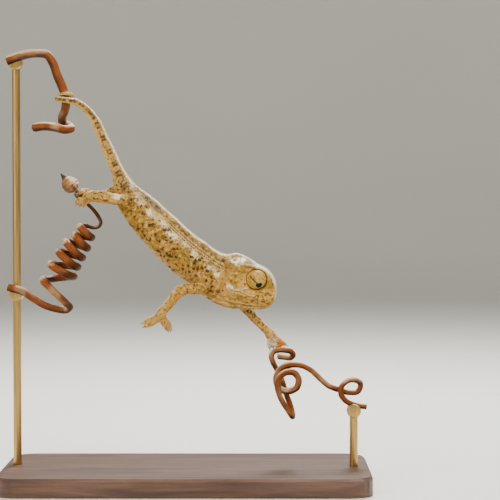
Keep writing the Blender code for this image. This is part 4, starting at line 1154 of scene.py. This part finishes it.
# Bud on the end of the lower tendril: x, y, z, radius, from its stalk to its thorn
BUD_ROWS = ((-29.7, 0.0, 79.6, 0.9), (-30.1, 0.0, 80.0, 1.8), (-30.8, 0.0, 80.7, 2.25),
            (-31.6, 0.0, 81.6, 2.15), (-32.25, 0.0, 82.4, 1.6), (-32.75, 0.0, 83.0, 0.85),
            (-33.2, 0.0, 83.5, 0.5), (-33.75, 0.0, 84.15, 0.12))
# Middle of the bud, and the way towards the light that its painted highlight and shade follow,
# over the bud's size
BUD_MIDDLE, BUD_LIGHT = (-31.2, 0.0, 81.0), (0.26, 0.0, 0.39)
BUD_SCALE = 0.95                # mm from one ring of its scales to the next
SEPAL = ((-30.4, 81.1), (-30.1, 80.3), (-29.0, 78.9))      # x and z of its darkest scale


def with_radius(*lengths):
    """Rows of x, y, z, radius of a stem made of (points, radius) lengths end to end."""
    return np.vstack([np.column_stack([points, np.full(len(points), radius)])
                      for points, radius in lengths])


def coil_points():
    """Loose coil: each half turn swings from one limit to the next, near side then far."""
    depth = np.linspace(1.7, 4.2, len(COIL_LIMITS) - 1)
    steps = circle(COIL_STEPS, math.pi)
    rows = []
    for half, (begin, end) in enumerate(zip(COIL_LIMITS[:-1], COIL_LIMITS[1:])):
        flat = begin + (end - begin) * ((1 - np.cos(steps)) / 2)[:, None]
        side = half % 2 * 2 - 1
        rows.append(np.stack([flat[:, 0], side * depth[half] * np.sin(steps), flat[:, 1]], 1))
    return np.vstack(rows + [[[COIL_LIMITS[-1][0], 0.0, COIL_LIMITS[-1][1]]]])


def hind_rows():
    """The whole lower tendril with its thickness: thin end, coil, and the run to the left rod."""
    rows = with_radius((HIND_STEM, HIND_STEM_RADIUS), (coil_points(), COIL_RADIUS),
                       (HIND_RUN, RUN_RADIUS))
    rows[len(HIND_STEM) - 1:len(HIND_STEM) + 1, 3] = SWELLING
    return rows


TAIL_ROWS = with_radius((TAIL_STEM, TAIL_STEM_RADIUS))
HAND_ROWS = with_radius((HAND_LOOP, HAND_STEM_RADIUS), (HAND_SPIRAL, SPIRAL_RADIUS),
                        (HAND_HAIRPIN, HAND_STEM_RADIUS), (HAND_HOLD, HOLD_RADIUS))


def stem_mesh(path, shape, around, arc):
    """Tube whose radius is the path's own times a shape of (row, angle), mapped lengthwise.

    The map holds the distance along it, and the angle times the arc, in mm over ten.
    """
    radius = path[:, 3, None] * shape
    mesh = shells_mesh(tube_rings(path[:, :3], radius, radius, around))
    run = np.broadcast_arrays(travelled(path)[:, None] / 10, circle(around) * arc / 10)
    add_map(mesh, "lengthwise", np.stack(run, -1))
    return mesh


def tendril_mesh(rows, seed, tints, light_way, darker_below=0.0, around=36, step=0.22, rounded=0.0):
    """Grooved tube: radius * (1 - groove * |sin(3a + twist)| + slow swellings).

    Its far end is rounded off over a length.  Its tint is painted light and shade: painted shade
    on the side turned from the light's way, the middle colour, and a painted highlight rim on the
    side facing it; it is also darker where the tube is thinner than the given radius.
    """
    pale, middle, dark = tints
    path = along(rows, int(travelled(rows)[-1] / step))
    place, angle = travelled(path), circle(around)
    turn = np.tile(angle, len(path))
    groove = 0.07 * np.abs(np.sin(3 * angle + place[:, None] * 0.16 + seed)) ** 0.7
    swell = 0.07 * (noise(path[:, :3], 3.2, seed) - 0.5)[:, None]
    fine = 0.05 * (noise(np.stack([np.repeat(place, around) * 0.35, np.cos(turn) * 3,
                                   np.sin(turn) * 3], 1), 0.8, seed + 1) - 0.5)
    shape = 1.03 - groove + swell + fine.reshape(-1, around)
    if rounded:
        share = np.clip((place[-1] - place) / rounded, 0.002, 1)
        shape *= np.sqrt(1 - (1 - share) ** 2)[:, None]
    mesh = stem_mesh(path, shape, around, path[:, 3, None])
    spots = rows_of(mesh.vertices, "co") / MM
    # facing: how far each point turns towards the light's way, for the painted highlight and shade
    facing = (rows_of(mesh.vertex_normals, "vector") @ unit(light_way)
              + 0.3 * (noise(spots, 1.1, seed + 2) - 0.5))
    thin = rise(darker_below - np.repeat(path[:, 3], around), -0.12, 0.12)
    worn = noise(spots, 3.2, seed + 3)
    # Random pale patches, painted shade away from the light, darker thin stem, painted highlight
    # towards the light
    paint(mesh, layered(
        middle, (pale, 0.3 * rise(worn, 0.5, 0.8)), (dark, 0.9 * rise(-facing, -0.2, 0.6)),
        (dark, 0.75 * thin),
        (pale, (0.75 - 0.4 * thin) * rise(facing + 0.6 * (worn - 0.5), 0.5, 0.75))))
    return mesh


def bud_mesh(count=90, around=64):
    """Dry bud: a plump tube whose radius steps in rings of overlapping scales, with a thorn;
    painted shade and highlight in its colours.
    """
    path = along(BUD_ROWS, count)
    place, angle = travelled(path)[:, None], circle(around)
    row = place / BUD_SCALE
    step = (row + 0.32 * np.abs(np.sin(1.5 * angle + 0.8 * np.floor(row)))) % 1.0
    fat = rise(path[:, 3], 0.5, 1.2)[:, None]
    crease = bump(angle, 3.6, 0.25)
    out = np.stack([np.cos(angle), np.sin(angle), angle * 0], 1) * 1.5
    lumps = 0.16 * (noise((path[:, None, :3] + out).reshape(-1, 3), 0.9, 61) - 0.5)
    mesh = stem_mesh(path, 1.0 + fat * (0.1 * (1 - step) ** 2 - 0.06 - 0.12 * crease
                                        + lumps.reshape(count, around)), around, 2.0)
    spots = rows_of(mesh.vertices, "co") / MM
    # shade: painted shade under the lip of each ring of scales and in the crease down one side
    shade = np.clip(1.2 - 0.45 * step - 0.6 * crease, 0.35, 1.2)
    thorn = rise(place, place[-1] * 0.66, place[-1] * 0.76) * np.ones(around)
    # lit: how far a point lies towards the light; the top right gets a painted highlight, the
    # lower left painted shade
    lit = (spots - BUD_MIDDLE) @ BUD_LIGHT
    colour = layered(
        "#B27A48", ("#DDAE78", rise(noise(spots, 0.9, 62), 0.52, 0.65)),
        ("#A8500F", 0.9 * rise(noise(spots, 1.2, 64), 0.44, 0.56)),
        ("#7E7226", 0.6 * rise(noise(spots, 1.3, 63), 0.55, 0.68)),
        ("#F2DABC", 0.75 * rise(lit, 0.4, 0.75)), ("#5A3A14", 0.75 * rise(-lit, 0.1, 0.7)))
    sepal = near_line(spots[:, 0], spots[:, 2], SEPAL, 0.46) * (spots[:, 1] < 0)
    paint(mesh, layered(colour * shade.reshape(-1, 1), ("#3A1408", thorn.ravel()),
                        ("#4A1A0A", 0.9 * sepal)))
    return mesh


# ---------------------------------------------------------------- stand

def bar_mesh(start, end, radius, side=LEFTWARDS, around=64, edge=0.25):
    """Straight round bar whose two ends are turned off with a quarter-round edge."""
    start, end = np.asarray(start, float), np.asarray(end, float)
    way = unit(end - start)
    turn = np.linspace(0, math.pi / 2, 5)
    drop, inset = edge * (1 - np.sin(turn)), edge * (1 - np.cos(turn))
    path = np.vstack([start + way * drop[::-1, None], end - way * drop[:, None]])
    size = radius - np.r_[inset[::-1], inset]
    return shells_mesh(tube_rings(path, size, size, around, side))


def rod_mesh(x, y, top, ends, cradles):
    """Upright rod joined to its short cross bars, each grooved by the tendril that rests in it."""
    mesh = bar_mesh((x, y, BASE_HEIGHT - ROD_SINK), (x, y, top), ROD_RADIUS)
    for height, rows in cradles:
        bar = bar_mesh(*((x, end, height) for end in ends), SADDLE_RADIUS, (1.0, 0.0, 0.0))
        groove = shells_mesh(round_rings(rows, 40, 48, LEFTWARDS, GAP))
        for tool, operation in ((bar, "UNION"), (groove, "DIFFERENCE")):
            cutter = bpy.data.objects.new("cutter", tool)
            mesh = evaluated(mesh, ("BOOLEAN", {"object": cutter, "operation": operation,
                                                "solver": "EXACT"}))
            bpy.data.meshes.remove(tool)
    mesh.shade_smooth()
    mesh.set_sharp_from_angle(angle=math.radians(35))
    return mesh


# ---------------------------------------------------------------- properties and operators

def length_property(name, text, value):
    return bpy.props.FloatProperty(name=name, description=text, default=value * MM, precision=5,
                                   min=0.0, unit="LENGTH")


def colour_property(name, text, value):
    return bpy.props.FloatVectorProperty(name=name, description=text, default=tuple(tone(value)),
                                         subtype="COLOR", min=0.0, max=1.0)


class ChameleonCoat(bpy.types.PropertyGroup):
    """Sizes of the skin and of the scales that stand on it."""
    depth: length_property("Coat depth", "How far the skin lies inside the solids", 0.10)
    grain: length_property("Skin grain", "Width of the faces that the skin is made of", 0.192)
    trunk_scale: length_property("Trunk scale", "Spacing of the granules on neck and trunk", 0.40)
    head_scale: length_property("Head scale", "Spacing of the granules on the head", 0.36)
    lid_scale: length_property("Lid scale", "Spacing of the granules on the eye turrets", 0.22)
    tail_scale: length_property("Tail scale", "Spacing of the granules on the tail", 0.30)
    limb_scale: length_property("Limb scale", "Spacing of the granules on the limbs", 0.30)
    toe_scale: length_property("Toe scale", "Spacing of the granules on hands and feet", 0.24)
    height: length_property("Scale height", "How far a trunk granule stands out of the skin", 0.09)


class ChameleonBark(bpy.types.PropertyGroup):
    """Colours of the dry vine tendrils."""
    # pale: random pale patches, and the painted highlight on the side facing the light
    pale: colour_property("Pale bark and painted highlight", "On the upper side", "#E6C8A0")
    middle: colour_property("Bark", "The bark's own orange-brown", "#834612")
    # dark: painted shade on the side turned from the light, and the thin stem's darker tone
    dark: colour_property("Shaded bark", "On the underside", "#381A04")


class ChameleonStage(bpy.types.PropertyGroup):
    """Camera distance, view and light of the stage."""
    distance: length_property("Camera distance", "From camera to the middle of the view", 480.0)
    view_width: length_property("View width", "Width of what the camera sees there", 135.0)
    elevation: bpy.props.FloatProperty(name="Elevation", description="How far it looks down",
                                       default=math.radians(2.0), subtype="ANGLE")
    key_power: bpy.props.FloatProperty(name="Key light", description="Power of the main lamp",
                                       default=3.3, min=0.0, unit="POWER")


class BuildStage(bpy.types.Operator):
    """Set the floor that sweeps up behind, the lamps and the camera."""
    bl_idname = "chameleon.stage"
    bl_label = "Stage"

    def execute(self, context):
        """Camera at the side, a round paper sweep (flat, quarter circle, upright), soft lamps."""
        scene, stage = context.scene, context.scene.chameleon_stage
        camera = bpy.data.cameras.new("camera")
        camera.sensor_width = 36.0
        camera.lens = camera.sensor_width * stage.distance / stage.view_width
        camera.clip_start, camera.clip_end = 0.01, 20.0
        tilt = stage.elevation
        scene.camera = linked("camera", camera)
        scene.camera.location = Vector(VIEW_MIDDLE) * MM + stage.distance * Vector(
            (0, -math.cos(tilt), math.sin(tilt)))
        scene.camera.rotation_euler = (math.pi / 2 - tilt, 0.0, 0.0)

        turn = np.linspace(0, math.pi / 2, 24)
        out = np.r_[0, PAPER_FLAT + PAPER_BEND * np.sin(turn), PAPER_FLAT + PAPER_BEND][:, None]
        up = np.r_[0, PAPER_BEND * (1 - np.cos(turn)), PAPER_TOP][:, None]
        angle = circle(96)
        points, sides, _, _ = shell(np.stack([out * np.cos(angle), out * np.sin(angle),
                                              up + 0 * angle], -1))
        paper = linked("backdrop", mesh_from(points, sides))
        paper.data.name = "backdrop"
        paper.data.materials.append(backdrop_paper())

        for name, place, size, share, colour in (
                ("key", (260, -330, 420), 260, 1.0, "#FFF4E6"),
                ("rim", (60, 240, 430), 160, 1.5, "#FFFFFF"),
                ("fill", (-420, -400, 330), 380, 0.85, "#FFFAF2")):
            lamp = bpy.data.lights.new(name, "AREA")
            lamp.shape, lamp.size, lamp.energy = "DISK", size * MM, stage.key_power * share
            lamp.color = tone(colour)
            holder = linked(name, lamp)
            holder.location = Vector(place) * MM
            holder.rotation_euler = (Vector(LAMP_AIM) * MM - holder.location).to_track_quat(
                "-Z", "Y").to_euler()
        scene.world = scene.world or bpy.data.worlds.new("studio")
        scene.world.use_nodes = True
        tree = scene.world.node_tree
        feed(tree, tree.nodes["Background"], {"Color": (1.0, 0.98, 0.94, 1.0), "Strength": 0.4})
        return {"FINISHED"}


class BuildSkin(bpy.types.Operator):
    """Make the one skin of head, body, limbs and eye turrets."""
    bl_idname = "chameleon.skin"
    bl_label = "Skin"

    def execute(self, context):
        coat = context.scene.chameleon_coat
        parts = ("upper_arm", "forearm", "hand", "thigh", "shin", "foot", "eye_turret")
        show("skin", build_skin(coat.depth / MM, coat.grain / MM), scaly_skin(), "skin_body",
             "head", "lower_jaw", "neck", "trunk_front", "trunk_rear", "tail_base", "tail_middle",
             "tail_bend", "tail_coil", *(f"{side}_{part}" for side in SIDES for part in parts))
        return {"FINISHED"}


class BuildScales(bpy.types.Operator):
    """Cover the skin with rows of granular scales."""
    bl_idname = "chameleon.scales"
    bl_label = "Scales"

    def execute(self, context):
        coat = context.scene.chameleon_coat
        tall = coat.height / MM
        places = np.r_[np.linspace(HEAD_BACK + 0.2, SNOUT_START, 240),
                       np.linspace(SNOUT_START + 0.02, SNOUT_TIP - 0.02, 170)]
        face = EYE_OUT - 0.4
        grown("scales_head", "skin_head", [head_rings(places, 120)], coat.head_scale / MM,
              tall * 0.9, lambda where: (where.from_eye > EYE_RING + 0.12) | (where.beside < face))
        lids = [turret_rings(side, np.linspace(0.3, 1.62, 120), 90) for side in (-1, 1)]
        grown("scales_eyelids", "skin_eyelid", lids, coat.lid_scale / MM, tall * 0.6,
              lambda where: (where.from_eye < EYE_RING - 0.12) & (where.beside > face))
        body = body_rings(72)
        for name, start, end, spacing, share in (
                ("neck", 0.3, 12.0, coat.trunk_scale, 1.0),
                ("trunk", 12.0, 24.0, coat.trunk_scale, 1.0),
                ("hips", 24.0, TAIL_PLACE, coat.trunk_scale, 1.0),
                ("tail", TAIL_PLACE, 99.0, coat.tail_scale, 0.8)):
            part = body[(SPINE_PLACE >= start) & (SPINE_PLACE < end)]
            grown(f"scales_{name}", "skin_body", [part], spacing / MM, tall * share)
        paths = [along(rows, 240)[20:] for rows in LIMBS.values()]
        tubes = [tube_rings(path[:, :3], path[:, 3], path[:, 3] * LIMB_FLATNESS, 60)
                 for path in paths]
        grown("scales_limbs", "skin_limbs", tubes, coat.limb_scale / MM, tall * 0.8,
              lambda where: where.limb_share > 0.1)
        grown("scales_feet", "skin_limbs", [round_rings(rows, 60, 30) for rows in foot_forms()],
              coat.toe_scale / MM, tall * 0.6)
        return {"FINISHED"}


class BuildCrests(bpy.types.Operator):
    """Set the rows of larger tubercles along spine, belly, casque and brows."""
    bl_idname = "chameleon.crests"
    bl_label = "Crests"

    def execute(self, context):
        for name, side, start, end, spacing, tall in (("spine", 1, 1.5, 56, 0.46, 0.26),
                                                      ("belly", -1, 4, 30, 0.42, 0.18)):
            line = SPINE[:, :3] + side * SPINE_UPS * SPINE[:, 3, None]
            crest_row(f"crest_{name}", "skin_body",
                      line[(SPINE_PLACE > start) & (SPINE_PLACE < end)], spacing, tall)
        places = np.linspace(-0.4, 13.2, 90)
        sizes = head_sizes(places)
        for name, side, end in (("casque", 0, 66), ("brow_right", -1, 90), ("brow_left", 1, 90)):
            line = head_point(places, side * sizes[1], sizes[2 * abs(side)])[:end]
            crest_row(f"crest_{name}", "skin_head", line, 0.4, 0.16)
        return {"FINISHED"}


class BuildEyesAndClaws(bpy.types.Operator):
    """Make both eyeballs and the claws of every hand and foot."""
    bl_idname = "chameleon.eyes_and_claws"
    bl_label = "Eyes and claws"

    def execute(self, context):
        """Eyeballs are spheres in their lids' openings, claws hooked cones on their digits."""
        eye, horn = wet_eye(), claw_horn()
        spots = np.meshgrid(np.linspace(0.02, math.pi - 0.02, 24), circle(36), indexing="ij")
        for side, name in zip((-1, 1), SIDES):
            way = gaze_of(side)
            rings = ball(aperture(side) - way * EYEBALL_SINK, way, *spots, EYEBALL_RADIUS)
            show(f"eyeball_{name}", shells_mesh(rings), eye, "eye_dark", f"{name}_eye")
        for foot, (_, _, _, digits) in FEET.items():
            claws = (round_rings(claw_rows(digit), 14, 12) for digit in digits)
            show(f"claws_{foot}", shells_mesh(*claws), horn, "claw_horn",
                 *(f"claw_{foot}_{number}" for number in range(1, 6)))
        return {"FINISHED"}


class BuildTendrils(bpy.types.Operator):
    """Make the three cut lengths of vine tendril and the bud."""
    bl_idname = "chameleon.tendrils"
    bl_label = "Tendrils"

    def execute(self, context):
        look = context.scene.chameleon_bark
        tints, bark = (look.pale, look.middle, look.dark), dry_bark()
        # The fourth argument of each is the way towards the light whose highlight and shade are
        # painted on it
        for name, mesh in (
                ("tail", tendril_mesh(TAIL_ROWS, 3, tints, (0.2, 0.0, 1.0), 0.0, 44, rounded=1.1)),
                ("hand", tendril_mesh(HAND_ROWS, 5, tints, (-0.4, 0.0, 0.9), rounded=0.6)),
                ("hind", tendril_mesh(hind_rows(), 8, tints, (-0.75, 0.0, 0.65), 0.9))):
            show(f"tendril_{name}", mesh, bark, "dry_bark", f"perch_{name}")
        show("tendril_bud", bud_mesh(), dry_bud(), "dry_bud", "perch_bud")
        return {"FINISHED"}


class BuildStand(bpy.types.Operator):
    """Finish the wooden base and make the brass rods with their cradles."""
    bl_idname = "chameleon.stand"
    bl_label = "Stand"

    def execute(self, context):
        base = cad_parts["stand_base"].data
        base.materials.clear()
        base.materials.append(oiled_hardwood())
        brass = satin_brass()
        run = with_radius((HIND_RUN[-4:], RUN_RADIUS))
        for side, *sizes in (
                ("left", -ROD_X, LEFT_ROD_Y, 116.0, (-0.5, LEFT_ROD_Y + 0.6),
                 ((114.0, TAIL_ROWS[:4]), (51.6, run))),
                ("right", RIGHT_ROD_X, 0.0, 20.4, (-1.6, 1.6), ((20.0, HAND_ROWS[:4]),))):
            show(f"rod_{side}", rod_mesh(*sizes), brass, "rod_brass", f"stand_rod_{side}")
        return {"FINISHED"}


STEPS = (BuildStage, BuildSkin, BuildScales, BuildCrests, BuildEyesAndClaws, BuildTendrils,
         BuildStand)
GROUPS = {"chameleon_coat": ChameleonCoat, "chameleon_bark": ChameleonBark,
          "chameleon_stage": ChameleonStage}


class ChameleonPanel(bpy.types.Panel):
    """Sizes, colours and steps of the chameleon model."""
    bl_idname = "VIEW3D_PT_chameleon"
    bl_label = "Chameleon"
    bl_space_type = "VIEW_3D"
    bl_region_type = "UI"
    bl_category = "Chameleon"

    def draw(self, context):
        for key, kind in GROUPS.items():
            for name in kind.__annotations__:
                self.layout.prop(getattr(context.scene, key), name)
        for step in STEPS:
            self.layout.operator(step.bl_idname)


def register():
    for kind in (*GROUPS.values(), *STEPS, ChameleonPanel):
        bpy.utils.register_class(kind)
    for name, kind in GROUPS.items():
        setattr(bpy.types.Scene, name, bpy.props.PointerProperty(type=kind))


def unregister():
    for name in GROUPS:
        delattr(bpy.types.Scene, name)
    for kind in (ChameleonPanel, *reversed(STEPS), *GROUPS.values()):
        bpy.utils.unregister_class(kind)


def main():
    register()
    bpy.ops.chameleon.stage()
    bpy.ops.chameleon.skin()
    bpy.ops.chameleon.scales()
    bpy.ops.chameleon.crests()
    bpy.ops.chameleon.eyes_and_claws()
    bpy.ops.chameleon.tendrils()
    bpy.ops.chameleon.stand()


if __name__ == "__main__":
    main()
